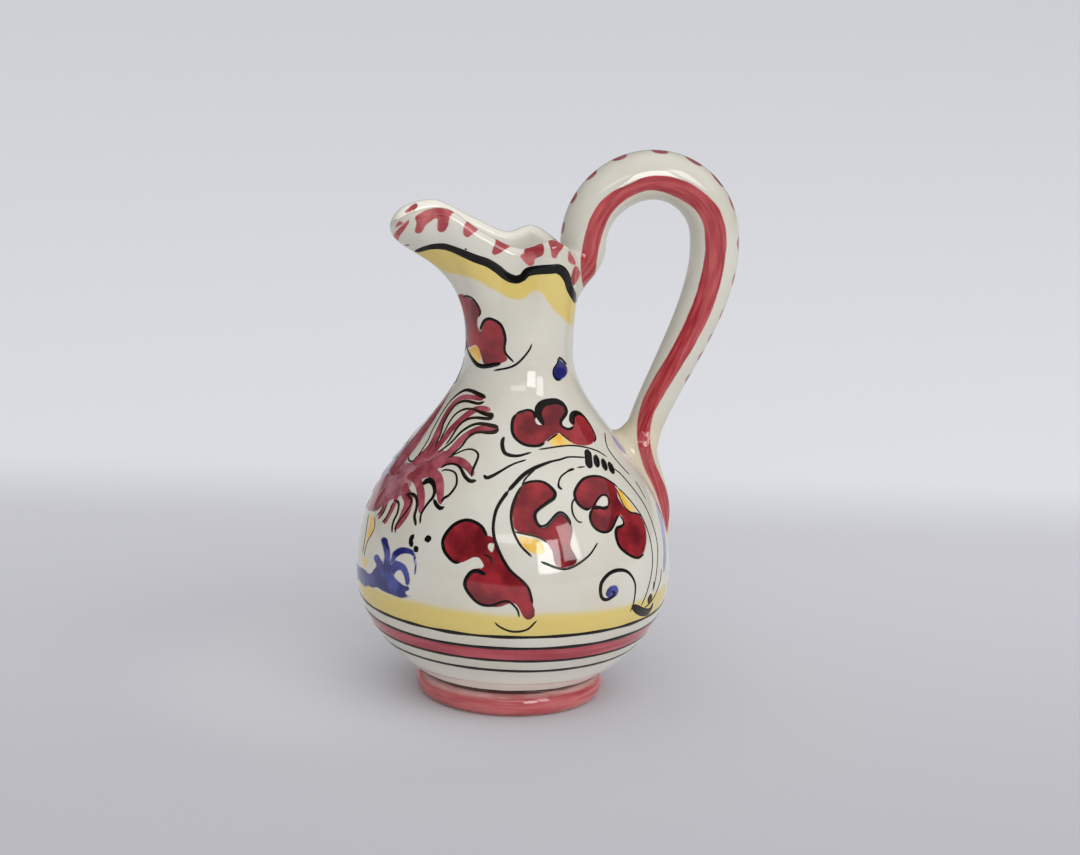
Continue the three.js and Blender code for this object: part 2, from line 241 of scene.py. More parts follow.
# %% [markdown]
# The crest of the rim is a loop through a few finger places: tip, nose and crest of the spout, the
# throat behind it, the pinch, the lobe, and the back where the handle springs. One side of the
# pinch sits a little lower, as it does on the real jug.

# %% Crest of the rim
LIP = 1.9  # radius of the rolled lip
AROUND, RIM_STEPS = 360, 60  # points in a ring, and from one finger place to the next
SPOUT_TIP, RIM_BACK, BACK_RISE = -32.2, 13.8, 20.5
PINCH_SKEW = 0.7
RIM_PLACES = [  # reach along the jug, full width, rise above the neck, skew
    (SPOUT_TIP + LIP, 0.0, 31.6, 0.0),
    (SPOUT_TIP + 4.5, 12.6, 34.07, 0.0),
    (-20.5, 16.4, 35.3, 0.0),
    (-11.3, 18.2, 30.4, PINCH_SKEW),
    (-2.0, 19.6, 26.4, PINCH_SKEW),
    (5.0, 24.8, 28.1, 0.0),
    (10.4, 17.0, 24.3, 0.0),
    (RIM_BACK - LIP, 0.0, BACK_RISE, 0.0),
]


def rim_side(side):
    """Middles of the lip at the finger places of one side, -1 or 1."""
    return [(x, side * max(width / 2 - LIP, 0) if width else 0.0, NECK_HEIGHT + rise + side * skew)
            for x, width, rise, skew in RIM_PLACES]


crest = evenly(smooth_run(rim_side(-1) + rim_side(1)[1:-1][::-1], True, RIM_STEPS), AROUND, True)
onward = np.roll(crest, -1, 0) - np.roll(crest, 1, 0)
outward = unit(np.stack([onward[:, 1], -onward[:, 0], 0 * onward[:, 0]], 1))
lip_middle = crest - [0, 0, LIP]
rim_bearing = np.unwrap(np.arctan2(crest[:, 1], crest[:, 0]))
rim_bearing += -math.pi - rim_bearing[0]
drawn = ease(np.hypot(crest[:, 0], crest[:, 1]), NECK_RADIUS, -SPOUT_TIP - LIP)
even_bearing = np.linspace(-math.pi, math.pi, AROUND, endpoint=False)
print("rim is", round(float(np.linalg.norm(onward, axis=1).sum() / 2)), "mm round")

# %% [markdown]
# Now the rings are stacked. On the belly their points are evenly spaced, and towards the neck they
# turn to meet the points of the rim, which crowd where the lip bends most.

# %% Rings of the wall
TURN_START = 40.0  # height where the points begin to turn
LOW_ROWS, HIGH_ROWS, MOUTH_ROWS, LIP_ROWS = 42, 98, 52, 13
INNER_LOW_ROWS, INNER_HIGH_ROWS, INNER_MOUTH_ROWS = 14, 20, 18
OUTER_PULLS = (0.5, 0.82), (0.26, 0.26)  # over the neck and under the lip, at the rim and at the spout
INNER_PULLS = (0.5, 0.92), (0.26, 0.12)
INNER_FLOOR = FLOOR_LIFT + FLOOR_THICKNESS
CORNER_INSET, CORNER_DROP, FLOOR_MIDDLE = 0.3 * WALL, 1.2, 8.0  # where wall and floor meet inside
UP = np.array([0, 0, 1.0])


def belly_ring(radius, height):
    turn = mix(even_bearing, rim_bearing, ease(height, TURN_START, NECK_HEIGHT))
    return np.stack([radius * np.cos(turn), radius * np.sin(turn), np.full(AROUND, height)], 1)


def mouth_rings(radius, offset, steps, neck_pull, lip_pull):
    """Rings of the mouth's wall above the neck, up to the edge of the lip."""
    neck = belly_ring(radius, NECK_HEIGHT)
    edge = lip_middle + offset * outward
    rise = (edge[:, 2] - NECK_HEIGHT)[:, None] * UP
    spout_share = drawn[:, None]
    over_neck = neck + rise * mix(*neck_pull, spout_share)
    under_lip = edge - rise * mix(*lip_pull, spout_share) - outward * spout_share * LIP / 2
    return [pull_curve(neck, over_neck, under_lip, edge, np.full(AROUND, t))
            for t in np.linspace(0, 1, steps + 1)[1:]]


floor_rings = [belly_ring(FLOOR_RADIUS / 2, FLOOR_LIFT)]
outer_rings = [belly_ring(r, z) for r, z in belly_outline(LOW_ROWS, HIGH_ROWS)]
outer_rings += mouth_rings(NECK_RADIUS, LIP, MOUTH_ROWS, *OUTER_PULLS)
lip_rings = [lip_middle + LIP * (math.cos(a) * outward + math.sin(a) * UP)
             for a in np.linspace(0, math.pi, LIP_ROWS + 2)[1:-1]]
inner_rings = mouth_rings(NECK_RADIUS - WALL, -LIP, INNER_MOUTH_ROWS, *INNER_PULLS)[::-1]
inner_line = [(r, z) for r, z in belly_outline(INNER_LOW_ROWS, INNER_HIGH_ROWS, WALL)
              if z > INNER_FLOOR + WALL / 2][::-1]
corner_radius, corner_height = inner_line[-1]
inner_line += [(corner_radius - CORNER_INSET, corner_height - CORNER_DROP),
               (corner_radius - WALL, INNER_FLOOR), (FLOOR_MIDDLE, INNER_FLOOR)]
inner_rings += [belly_ring(r, z) for r, z in inner_line]
print("rings:", len(outer_rings), "outside,", len(lip_rings), "over the lip,", len(inner_rings), "inside")

# %% [markdown]
# The rings are joined into one closed skin, with a fan of triangles at each end. An unrolled map
# goes with it: round the jug from left to right, and up the wall from bottom to top.

# %% Skin of the body
MAP_MARGIN = 0.02  # of the map's height, for each fan


def unrolled(rings):
    """Map places for the corners of a skin's quads, of its first fan and of its last fan."""
    count, rows = len(rings[0]), len(rings)
    step = [np.linalg.norm(rings[r + 1] - rings[r], axis=1).mean() for r in range(rows - 1)]
    length = np.r_[0, np.cumsum(step)]
    high = MAP_MARGIN + (1 - 2 * MAP_MARGIN) * length / length[-1]
    wide = np.arange(count + 1) / count
    i = np.arange(count)
    corner = np.array([(0, 0), (1, 0), (1, 1), (0, 1)])
    across = wide[i[:, None] + corner[:, 0]]
    upward = [np.broadcast_to(high[r + corner[:, 1]], (count, 4)) for r in range(rows - 1)]
    quads = [np.stack([across, rise], -1) for rise in upward]
    half, none = (wide[i] + wide[i + 1]) / 2, np.zeros(count)
    low, top = none + MAP_MARGIN, none + 1 - MAP_MARGIN
    first = np.stack([half, none, wide[i + 1], low, wide[i], low], 1)
    last = np.stack([half, none + 1, wide[i], top, wide[i + 1], top], 1)
    return np.vstack([np.concatenate(quads).reshape(-1, 2), first.reshape(-1, 2), last.reshape(-1, 2)])


def skin(name, rings, start, end):
    """A closed mesh through rings of equally many points, with its own unrolled map."""
    count, rows = len(rings[0]), len(rings)
    points = np.vstack(rings + [start, end]) + AXIS
    i = np.arange(count)
    j = (i + 1) % count
    band = np.stack([i, j, j + count, i + count], 1)
    quads = np.concatenate([band + r * count for r in range(rows - 1)])
    last_ring = (rows - 1) * count
    first_fan = np.stack([np.full(count, rows * count), j, i], 1)
    last_fan = np.stack([np.full(count, rows * count + 1), i + last_ring, j + last_ring], 1)
    mesh = bpy.data.meshes.new(name)
    mesh.from_pydata((points * MM).tolist(), [], quads.tolist() + first_fan.tolist() + last_fan.tolist())
    mesh.shade_smooth()
    layer = mesh.uv_layers.new(name="OFBake")
    layer.data.foreach_set("uv", unrolled(rings).astype(np.float32).ravel())
    return add_object(name, mesh)


body = skin("body_skin", floor_rings + outer_rings + lip_rings + inner_rings,
            [0, 0, FLOOR_LIFT], [0, 0, INNER_FLOOR])
outer_rows = len(floor_rings) + len(outer_rings) + len(lip_rings) // 2
print("body:", len(body.data.polygons), "faces")

# %% [markdown]
# Brush strokes, washes and the handle have to know where the clay is, so the outer skin is also
# kept as a search tree in millimetres round the jug's own axis.

# %% The outer skin as a place to paint on
skin_points = np.array([v.co for v in body.data.vertices]) / MM - AXIS
outer_faces = [tuple(p.vertices) for p in body.data.polygons if max(p.vertices) < outer_rows * AROUND]
clay = BVHTree.FromPolygons(skin_points.tolist(), outer_faces)
print("clay to paint on:", len(outer_faces), "faces")

# %% [markdown]
# ## Tools for node trees
# Geometry Nodes sweep the foot, the handle and the brush strokes along lines, and shader nodes make
# the glaze. Both kinds of tree are built from the same small calls: a node with its links, and a
# calculation on numbers or on vectors.

# %% Helpers for nodes


def add_node(tree, kind, links=(), **settings):
    """A node with its settings, and its inputs linked or set by name or number."""
    node = tree.nodes.new(kind)
    for key, value in settings.items():
        setattr(node, key, value)
    for key, value in dict(links).items():
        if isinstance(value, bpy.types.NodeSocket):
            tree.links.new(value, node.inputs[key])
        else:
            node.inputs[key].default_value = value
    return node


def math_node(tree, operation, *values):
    return add_node(tree, "ShaderNodeMath", dict(enumerate(values)), operation=operation).outputs[0]


def vector_node(tree, operation, first, second=None, scale=None):
    links = {0: first}
    if second is not None:
        links[1] = second
    if scale is not None:
        links["Scale"] = scale
    return add_node(tree, "ShaderNodeVectorMath", links, operation=operation).outputs[0]


def new_material(name):
    material = bpy.data.materials.new(name)
    material.use_nodes = True
    return material


foot_wash, handle_glaze, body_glaze = (new_material(n) for n in ("foot_wash", "handle_glaze", "body_glaze"))
print("materials to fill:", [m.name for m in bpy.data.materials])

# %% [markdown]
# Each geometry tree has named inputs for its sizes, and the same end: smooth shading, real
# geometry and a material. It runs on a source object, and the result is kept as a plain mesh,
# because an export reads meshes and not recipes.

# %% Helpers for geometry trees


def begin_tree(name, **sizes):
    """A geometry tree with named inputs for its sizes, and those inputs."""
    tree = bpy.data.node_groups.new(name, "GeometryNodeTree")
    for label, kind in {"Geometry": "Geometry", **sizes}.items():
        tree.interface.new_socket(label, in_out="INPUT", socket_type="NodeSocket" + kind)
    tree.interface.new_socket("Geometry", in_out="OUTPUT", socket_type="NodeSocketGeometry")
    return tree, add_node(tree, "NodeGroupInput").outputs


def end_tree(tree, geometry, material):
    """Smooth shading, real geometry, the material and the way out of the tree."""
    for kind, extra in (("GeometryNodeSetShadeSmooth", {}), ("GeometryNodeRealizeInstances", {}),
                        ("GeometryNodeSetMaterial", {"Material": material})):
        geometry = add_node(tree, kind, {"Geometry": geometry, **extra}).outputs["Geometry"]
    add_node(tree, "NodeGroupOutput", {"Geometry": geometry})
    return tree


def settle(name, source, tree, sizes):
    """Runs a tree on a source object and keeps the result as a plain mesh object."""
    modifier = source.modifiers.new(tree.name, "NODES")
    modifier.node_group = tree
    for socket in tree.interface.items_tree:
        if socket.in_out == "INPUT" and socket.name in sizes:
            modifier[socket.identifier] = sizes[socket.name]
    seen = source.evaluated_get(bpy.context.evaluated_depsgraph_get())
    mesh = bpy.data.meshes.new_from_object(seen)
    mesh.name = name
    source.modifiers.remove(modifier)
    bpy.data.objects.remove(source)
    return add_object(name, mesh)


# %% [markdown]
# ## The turned foot
# The foot ring is turned on the wheel when the clay is leather hard. Its outline is drawn once, as
# a small closed curve, and Geometry Nodes sweep it round the jug's axis.

# %% Sweep the foot ring
FOOT_RADIUS, FOOT_EDGE, FOOT_BORE = 23.1, 21.2, 16.2
FOOT_WIDEST, FOOT_CREASE = 3.7, 5.9  # heights
FOOT_STEPS, SIDE_STEPS = 256, 10  # round the foot, and from one point of its side to the next


def turning_tree(material):
    """Carries an outline round a wheel."""
    tree, given = begin_tree("turned_ring", Bore="Float", Steps="Int")
    wheel = add_node(tree, "GeometryNodeCurvePrimitiveCircle",
                     {"Resolution": given["Steps"], "Radius": given["Bore"]}).outputs["Curve"]
    swept = add_node(tree, "GeometryNodeCurveToMesh", {"Curve": wheel, "Profile Curve": given["Geometry"]})
    return end_tree(tree, swept.outputs["Mesh"], material)


crease_radius = float(belly_radius(FOOT_CREASE))
foot_side = smooth_run([  # radius and height, from the standing edge to the crease
    (FOOT_EDGE + 0.55, 0.35), ((FOOT_EDGE + 3 * FOOT_RADIUS) / 4, FOOT_WIDEST / 3), (FOOT_RADIUS, FOOT_WIDEST),
    (crease_radius + 0.15, FOOT_CREASE - 0.25), (crease_radius - 0.9, FOOT_CREASE + 0.1)], per_span=SIDE_STEPS)
standing_face = [(FOOT_BORE + 0.5, 0.0), (FOOT_EDGE - 0.2, 0.0), (FOOT_EDGE + 0.25, 0.1)]
under_belly = [(FLOOR_RADIUS + 0.5, FLOOR_LIFT + 0.8), (FOOT_BORE, FLOOR_LIFT + 0.3), (FOOT_BORE, 0.4)]
foot_outline = np.vstack([standing_face, foot_side, under_belly])
foot_section = np.c_[foot_outline[:, 0] - FOOT_BORE, -foot_outline[:, 1], 0 * foot_outline[:, 0]][::-1]
section_curve = bpy.data.curves.new("foot_section", "CURVE")
section_curve.dimensions = "3D"
spline = section_curve.splines.new("POLY")
spline.points.add(len(foot_section) - 1)
spline.points.foreach_set("co", np.c_[foot_section * MM, np.ones(len(foot_section))].ravel())
spline.use_cyclic_u = True
foot = settle("foot_ring_skin", add_object("foot_section", section_curve), turning_tree(foot_wash),
              {"Bore": FOOT_BORE * MM, "Steps": FOOT_STEPS})
foot.data.transform(Matrix.Translation(AXIS * MM))
print("foot:", len(foot.data.polygons), "faces,", [round(d / MM, 1) for d in foot.dimensions])

# %% [markdown]
# ## The pulled handle
# A handle is pulled from a lump of wet clay, bent over in a loop and luted on: pressed to the rim
# and the belly with wet slip, and the joints smoothed with a finger. Its middle line is five pull
# curves. Geometry Nodes carry an oval along it, and the oval gets thinner down to the tongue.

# %% Middle line of the handle
ARCH_RADIUS, ARCH_LIFT, SPRING_OFFSET, ROOT_DROP = 16.2, 5.2, 1.7, 10.5
JOINT_HEIGHT, TIP_HEIGHT = 62.0, 36.0
JOINT_STANDOFF, TONGUE_STANDOFF, TIP_SINK = 4.5, 4.2, 0.8  # from the belly's outline
FALL_LEAN, JOINT_LEAN = (1.5, -0.33), (1.8, 0.25)  # mm outwards, share of the fall
ROOT_PULLS = 0.6, 0.4  # shares of the root's drop
ARCH_PULL = 0.5523 * ARCH_RADIUS  # makes a quarter circle
STRAP_STEPS, CURVE_STEPS = 420, 200
spring = np.array([RIM_BACK + SPRING_OFFSET, NECK_HEIGHT + BACK_RISE + ARCH_LIFT])
top = spring + ARCH_RADIUS
far = spring + [2 * ARCH_RADIUS, 0]
joint = np.array([belly_radius(JOINT_HEIGHT) + JOINT_STANDOFF, JOINT_HEIGHT])
tongue_height = (JOINT_HEIGHT + TIP_HEIGHT) / 2
tongue = np.array([belly_radius(tongue_height) + TONGUE_STANDOFF, tongue_height])
tip = np.array([belly_radius(TIP_HEIGHT) - TIP_SINK, TIP_HEIGHT])
fall = np.array([1, spring[1] - JOINT_HEIGHT])
STRAP_CURVES = [
    ((NECK_RADIUS / 2, spring[1] - ROOT_DROP), (NECK_RADIUS, spring[1] - ROOT_PULLS[0] * ROOT_DROP),
     (spring[0], spring[1] - ROOT_PULLS[1] * ROOT_DROP), spring),
    (spring, spring + [0, ARCH_PULL], top - [ARCH_PULL, 0], top),
    (top, top + [ARCH_PULL, 0], far + [0, ARCH_PULL], far),
    (far, far + FALL_LEAN * fall, joint + JOINT_LEAN * fall, joint),
    (joint, (joint[0], (JOINT_HEIGHT + tongue_height) / 2), tongue, tip),
]
strap_runs = [pull_curve(*np.array(curve, float), np.linspace(0, 1, CURVE_STEPS)) for curve in STRAP_CURVES]
run_length = [way_along(run)[-1] for run in strap_runs]
strap_length = sum(run_length)
strap = evenly(np.vstack([strap_runs[0]] + [run[1:] for run in strap_runs[1:]]), STRAP_STEPS)
share = np.linspace(0, 1, STRAP_STEPS)
arch_end, joint_share = sum(run_length[:3]) / strap_length, sum(run_length[:4]) / strap_length
print("handle is", round(strap_length), "mm long")

# %% [markdown]
# The clay pressed into the two angles makes the strap swell on its inner face, most where strap
# and body meet, and just above the root the strap is a little slimmer. First the oval's sizes are
# worked out at each step of the middle line.

# %% Thickness of the strap
STRAP_SIZE, JOINT_SIZE, TIP_SIZE = (12.0, 11.6), (8.4, 10.4), (3.0, 3.6)  # depth, width
LUTING_LENGTH, ROOT_LUTING, BELLY_LUTING = 6.0, 0.7, 2.6
SLIM_SHARE, SLIM_LENGTH, SLIM_AMOUNT = 0.085, 20.0, 0.9
ROOT_END = 0.3  # share of the strap that holds the root


def strap_size(k):
    """Half the depth (0) or half the width (1) along the strap."""
    thin = mix(STRAP_SIZE[k], JOINT_SIZE[k], ease(share, arch_end, joint_share))
    tongue_part = mix(JOINT_SIZE[k], TIP_SIZE[k], (share - joint_share) / (1 - joint_share))
    return np.where(share < joint_share, thin, tongue_part) / 2


def luting(peak, reach):
    """Clay pressed into an angle, most at its peak."""
    t = np.clip(1 - np.abs(share - peak) * strap_length / LUTING_LENGTH, 0, 1)
    return reach * t ** 3 * (t * (6 * t - 15) + 10)


def slimmed(peak, length, amount):
    return amount * np.clip(1 - ((share - peak) * strap_length / length) ** 2, 0, 1) ** 2


strap_middle = np.c_[strap[:, 0], 0 * share, strap[:, 1]]
along = unit(np.gradient(strap, axis=0))
into_loop = np.stack([along[:, 1], 0 * share, -along[:, 0]], 1)
half_depth, half_width = strap_size(0), strap_size(1)
inner_face = strap_middle + into_loop * half_depth[:, None]
sunk = inner_face[:, 0] < belly_radius(np.clip(inner_face[:, 2], 0, NECK_HEIGHT))
root_share = share[np.where(sunk & (share < ROOT_END))[0].max()]
belly_share = share[np.where(sunk & (share > arch_end))[0].min()]
swell = luting(root_share, ROOT_LUTING) + luting(belly_share, BELLY_LUTING)
swell -= slimmed(SLIM_SHARE, SLIM_LENGTH, SLIM_AMOUNT)
print("strap leaves the mouth at", round(root_share * strap_length), "and meets the belly at",
      round(belly_share * strap_length), "mm")

# %% [markdown]
# To sweep a changing section, its sizes are kept on the middle line as attributes, where a tree can
# read them. The tree carries a small circle along the line and marks how far round the circle each
# point is, so that each point can then be set to its place on an oval or a lens.

# %% Helpers for sweeping


def store(mesh, name, values):
    """Keeps a number or a direction for each point of a mesh."""
    values = np.asarray(values, np.float32)
    kind, field = ("FLOAT_VECTOR", "vector") if values.ndim == 2 else ("FLOAT", "value")
    mesh.attributes.new(name, kind, "POINT").data.foreach_set(field, values.ravel())


def line_object(name, places, edges, attributes):
    """Bare lines of points in mm that carry numbers or directions for a tree to read."""
    mesh = bpy.data.meshes.new(name)
    mesh.from_pydata((places * MM).tolist(), edges, [])
    for key, values in attributes.items():
        store(mesh, key, values)
    return add_object(name, mesh)


def read(tree, name, kind="FLOAT"):
    stored = add_node(tree, "GeometryNodeInputNamedAttribute", {"Name": name}, data_type=kind)
    return stored.outputs["Attribute"]


def swept_circle(tree, given):
    """A tube along the given lines, and the cosine and sine of each point's turn round it."""
    line = add_node(tree, "GeometryNodeMeshToCurve", {"Mesh": given["Geometry"]}).outputs["Curve"]
    circle = add_node(tree, "GeometryNodeCurvePrimitiveCircle", {"Resolution": given["Sides"], "Radius": MM})
    step = math_node(tree, "DIVIDE", add_node(tree, "GeometryNodeInputIndex").outputs[0], given["Sides"])
    marked = add_node(tree, "GeometryNodeStoreNamedAttribute", {
        "Geometry": circle.outputs["Curve"], "Name": "turn",
        "Value": math_node(tree, "MULTIPLY", step, 2 * math.pi)}, data_type="FLOAT", domain="POINT")
    tube = add_node(tree, "GeometryNodeCurveToMesh", {
        "Curve": line, "Profile Curve": marked.outputs["Geometry"], "Fill Caps": True})
    turn = read(tree, "turn")
    return tube.outputs["Mesh"], math_node(tree, "COSINE", turn), math_node(tree, "SINE", turn)


def set_places(tree, mesh, offset):
    """Moves a tube's points to the middle of their line and an offset from it."""
    place = vector_node(tree, "ADD", read(tree, "middle", "FLOAT_VECTOR"), offset)
    return add_node(tree, "GeometryNodeSetPosition", {"Geometry": mesh, "Position": place}).outputs["Geometry"]


# %% [markdown]
# The handle's oval is deep towards the loop and wide across it, and the luting's swell is added on
# the inner half only.

# %% Sweep the strap
STRAP_SIDES = 72


def strap_tree(material):
    """Carries an oval along a line, deeper on its inner face where the luting swells it."""
    tree, given = begin_tree("pulled_strap", Sides="Int")
    tube, inward, sideways = swept_circle(tree, given)
    extra = math_node(tree, "MULTIPLY", read(tree, "swell"), math_node(tree, "MAXIMUM", inward, 0.0))
    deep = math_node(tree, "MULTIPLY_ADD", read(tree, "half_depth"), inward, extra)
    wide = math_node(tree, "MULTIPLY", read(tree, "half_width"), sideways)
    across = add_node(tree, "ShaderNodeCombineXYZ", {"Y": wide}).outputs[0]
    offset = vector_node(tree, "SCALE", read(tree, "into_loop", "FLOAT_VECTOR"), scale=deep)
    return end_tree(tree, set_places(tree, tube, vector_node(tree, "ADD", offset, across)), material)


strap_line = line_object("strap_line", strap_middle, [(k, k + 1) for k in range(STRAP_STEPS - 1)], {
    "middle": strap_middle * MM, "into_loop": into_loop, "share": share, "half_depth": half_depth * MM,
    "half_width": (half_width + np.maximum(swell, 0) / 2) * MM, "swell": swell * MM})
handle = settle("handle_skin", strap_line, strap_tree(handle_glaze), {"Sides": STRAP_SIDES})
print("handle:", len(handle.data.polygons), "faces")

# %% [markdown]
# Slip and glaze fill the seam between strap and body to a soft hollow, about as round as a
# fingertip. Near the body each point of the strap is pushed out along the clay, as a quarter
# circle asks; and at the mouth the strap stays behind the crest, so that it doesn't fill the spout.

# %% Soften the joints
FILLET, STEEPEST, SEARCH = 2.4, 0.995, 12.0
MOUTH_BACK, OVERHANG, OVERHANG_START = 6.0, 2.4, 107.0
strap_points = np.array([v.co for v in handle.data.vertices]) / MM
strap_share = np.array([d.value for d in handle.data.attributes["share"].data])


def from_strap(values):
    """What the middle line holds, at each point of the handle's skin."""
    return np.stack([np.interp(strap_share, share, values[:, c]) for c in range(3)], 1)


middle_at = from_strap(strap_middle)
crest_back = crest[crest[:, 0] > MOUTH_BACK]
crest_x = np.interp(strap_points[:, 1], *crest_back[np.argsort(crest_back[:, 1])][:, [1, 0]].T)
overhang = OVERHANG * ease(strap_points[:, 2], OVERHANG_START, spring[1])
behind = np.maximum(strap_points[:, 0], crest_x - overhang)
near_root = strap_share < arch_end / 3
strap_points[near_root, 0] = behind[near_root]
for k, point in enumerate(strap_points):
    spot, normal = clay.find_nearest(Vector(point), SEARCH)[:2]
    if spot is None:
        continue
    lift = (Vector(point) - spot).dot(normal)
    away = Vector(point - middle_at[k])
    away -= normal * away.dot(normal)
    if lift < FILLET and away.length > 1e-6:
        t = min(max(1 - lift / FILLET, 0), STEEPEST)
        strap_points[k] += np.array(away.normalized()) * FILLET * (1 - math.sqrt(1 - t * t))
handle.data.vertices.foreach_set("co", ((strap_points + AXIS) * MM).astype(np.float32).ravel())
handle.data.update()
print("handle spans", [round(float(s), 1) for s in np.ptp(strap_points, axis=0)], "mm")

# %% [markdown]
# ## Where the brush went
# The painting was done freehand on the raw glaze, petals first as blots of colour and then dark
# lines over them. Its places are given as they look in the picture, through the calibrated
# camera. What the camera sees gets its place straight from the picture. The far side repeats the
# flowers and scrolls, mirrored, as painters of such jugs do.

# %% Find each point of clay in the picture
PIXELS_PER_MM = 4.1  # at the jug
UNSEEN = -1e4  # stands for a place outside a chart
INNER_ROWS_PAINTED = 5
whole_skin = BVHTree.FromPolygons(skin_points.tolist(), [tuple(p.vertices) for p in body.data.polygons])


def seen(points, margin=0.6):
    """Which points the camera sees past the body itself."""
    flags = np.zeros(len(points), bool)
    eye = Vector(STANDPOINT)
    for k, point in enumerate(points):
        ray = Vector(point) - eye
        spot = whole_skin.ray_cast(eye, ray.normalized())[0]
        flags[k] = spot is not None and (spot - eye).length > ray.length - margin
    return flags


ring_number = np.arange(len(skin_points)) // AROUND
outer = ring_number < len(floor_rings) + len(outer_rings) + len(lip_rings) + INNER_ROWS_PAINTED
facing_us = outer.copy()
facing_us[outer] = seen(skin_points[outer])
direct = np.full((len(skin_points), 2), UNSEEN)  # what the camera sees
direct[facing_us] = to_picture(skin_points[facing_us])
hidden = np.where(outer & ~facing_us)[0]
twins = skin_points[hidden] * [1, -1, 1]
twin_seen = seen(twins)
paired = direct.copy()  # and what it would see of the mirrored jug
paired[hidden[twin_seen]] = to_picture(twins[twin_seen])
wall = ring_number < outer_rows
folded = np.full((len(skin_points), 2), UNSEEN)  # both sides as the near side
folded[wall] = to_picture(np.c_[skin_points[wall, 0], -np.abs(skin_points[wall, 1]), skin_points[wall, 2]])
print("clay in the picture:", int(facing_us.sum()), "points seen,",
      int((paired[:, 0] > UNSEEN).sum()), "with twins")

# %% [markdown]
# The rooster stands on the front, under the spout, and the picture shows only its tail and one
# leg. The rest of it is drawn on a chart of its own: millimetres round the belly from the edge that
# the camera sees, and height. A second such chart serves the leaves beside the handle.

# %% Charts of the front and the back
LEFT_EDGE, RIGHT_EDGE = math.radians(167), math.radians(-13)  # bearings of the jug's outline in the picture
FRONT_REACH = 1.5  # radians to each side of the left edge
skin_bearing, skin_height = np.arctan2(skin_points[:, 1], skin_points[:, 0]), skin_points[:, 2]
skin_radius = belly_radius(skin_height)
off_chart = ~wall | (skin_height > NECK_HEIGHT)
beyond = LEFT_EDGE - np.mod(skin_bearing, 2 * math.pi)
front_chart = np.stack([beyond * skin_radius, skin_height], 1)
front_chart[off_chart | (np.abs(beyond) > FRONT_REACH)] = UNSEEN
back_chart = np.stack([(-np.abs(skin_bearing) - RIGHT_EDGE) * skin_radius, skin_height], 1)
back_chart[off_chart] = UNSEEN
print("front chart:", int((front_chart[:, 0] > UNSEEN).sum()), "points")

# %% [markdown]
# A blot of colour is an outline. For each point of clay the distance to the outline's edge is
# kept, in millimetres and positive inside, so that the shader can make the edge soft or ragged.

# %% Blots of colour
FAR_OFF, EDGE_MARGIN = -40.0, 12.0  # in picture units
BLOT_STEPS = 5  # places on an outline from one point to the next


def inside_by(outline, places):
    """How far inside a smooth outline each place lies, in picture units."""
    loop = smooth_run(outline, True, BLOT_STEPS)
    depth = np.full(len(places), FAR_OFF)
    low, high = loop.min(0) - EDGE_MARGIN, loop.max(0) + EDGE_MARGIN
    close = np.where(((places > low) & (places < high)).all(1))[0]
    if not len(close):
        return depth
    edge = np.roll(loop, -1, 0) - loop
    rel = places[close][:, None, :] - loop[None]
    t = np.clip((rel * edge).sum(2) / np.maximum((edge ** 2).sum(1), 1e-9), 0, 1)
    gap = np.sqrt(((rel - t[..., None] * edge) ** 2).sum(2)).min(1)
    crossing = (rel[..., 1] >= 0) != (rel[..., 1] - edge[:, 1] >= 0)
    reach = rel[..., 0] - edge[:, 0] * rel[..., 1] / np.where(edge[:, 1] == 0, 1e-9, edge[:, 1])
    odd = (crossing & (reach < 0)).sum(1) % 2 == 1
    depth[close] = np.where(odd, gap, -gap)
    return depth


def blots(places, outlines, holes=()):
    """How many mm inside the nearest of some outlines in the picture each place lies."""
    depth = np.max([inside_by(o, places) for o in outlines], axis=0)
    for hole in holes:
        depth = np.minimum(depth, -inside_by(hole, places))
    return depth / PIXELS_PER_MM


def chart_blots(chart, *outlines):
    """The same for outlines in mm on a chart of the clay."""
    return blots(chart * PIXELS_PER_MM, [np.array(outline) * PIXELS_PER_MM for outline in outlines])


print("outlines count within", round(EDGE_MARGIN / PIXELS_PER_MM, 1), "mm")

# %% [markdown]
# Outlines of the flowers come first, in pixels of the picture: the neck flower, four on the belly, and their
# yellow hearts. A petal that curls over shows bare glaze inside, so the right flower has a hole. The low
# flower's hole is a painted highlight: bare white glaze left where a window's reflection lies on the petal.

# %% Outlines of the flowers
NECK_FLOWER = [
    (460, 293), (466, 296), (472, 299), (477, 305), (479, 312), (477, 318), (477, 326), (479.5, 331),
    (484, 320), (488, 318.5), (500, 325), (504.6, 340), (503.5, 347), (504.5, 353), (507, 359),
    (492, 365), (484.5, 365.5), (475.5, 344.5), (468, 347), (458, 349), (452, 340), (452, 300)]
NECK_HEART = [(467, 349), (476.5, 345), (479, 351), (480.5, 358), (478, 362.5), (473.5, 360)]
UPPER_FLOWER = [
    (510.5, 421), (513, 415), (518, 413), (523, 410), (528, 409), (532.5, 411), (536, 422.5),
    (541, 424), (538.5, 410), (541, 404), (552, 399.5), (563, 403.5), (566, 409), (564.5, 415),
    (560.5, 420), (561, 425), (566, 428), (572, 426.5), (570.5, 419), (572, 413.5), (577, 412),
    (588.5, 422.5), (594.5, 436), (593, 441), (587, 444.8), (571, 442.5), (566, 437), (557.5, 432.5),
    (538, 444.6), (522.5, 443.3), (512, 433)]
UPPER_HEART = [(548, 441), (557.5, 432.5), (568, 440), (573, 444), (562, 445.3), (552, 446)]
MIDDLE_FLOWER = [
    (519.5, 487), (524, 483), (535.5, 480), (548, 484), (554.6, 493), (552, 498), (539, 507),
    (535.3, 512), (536.5, 523), (541, 526), (546, 524.5), (551, 520), (555, 514.5), (559.4, 512),
    (564, 514.5), (571.8, 526), (572, 533), (570, 540), (570.5, 547), (576.6, 559), (574.5, 563.5),
    (561, 567), (555, 564.5), (551, 550), (542, 538), (525, 532.7), (516, 530.5), (513, 526),
    (512.8, 501), (516.5, 496)]
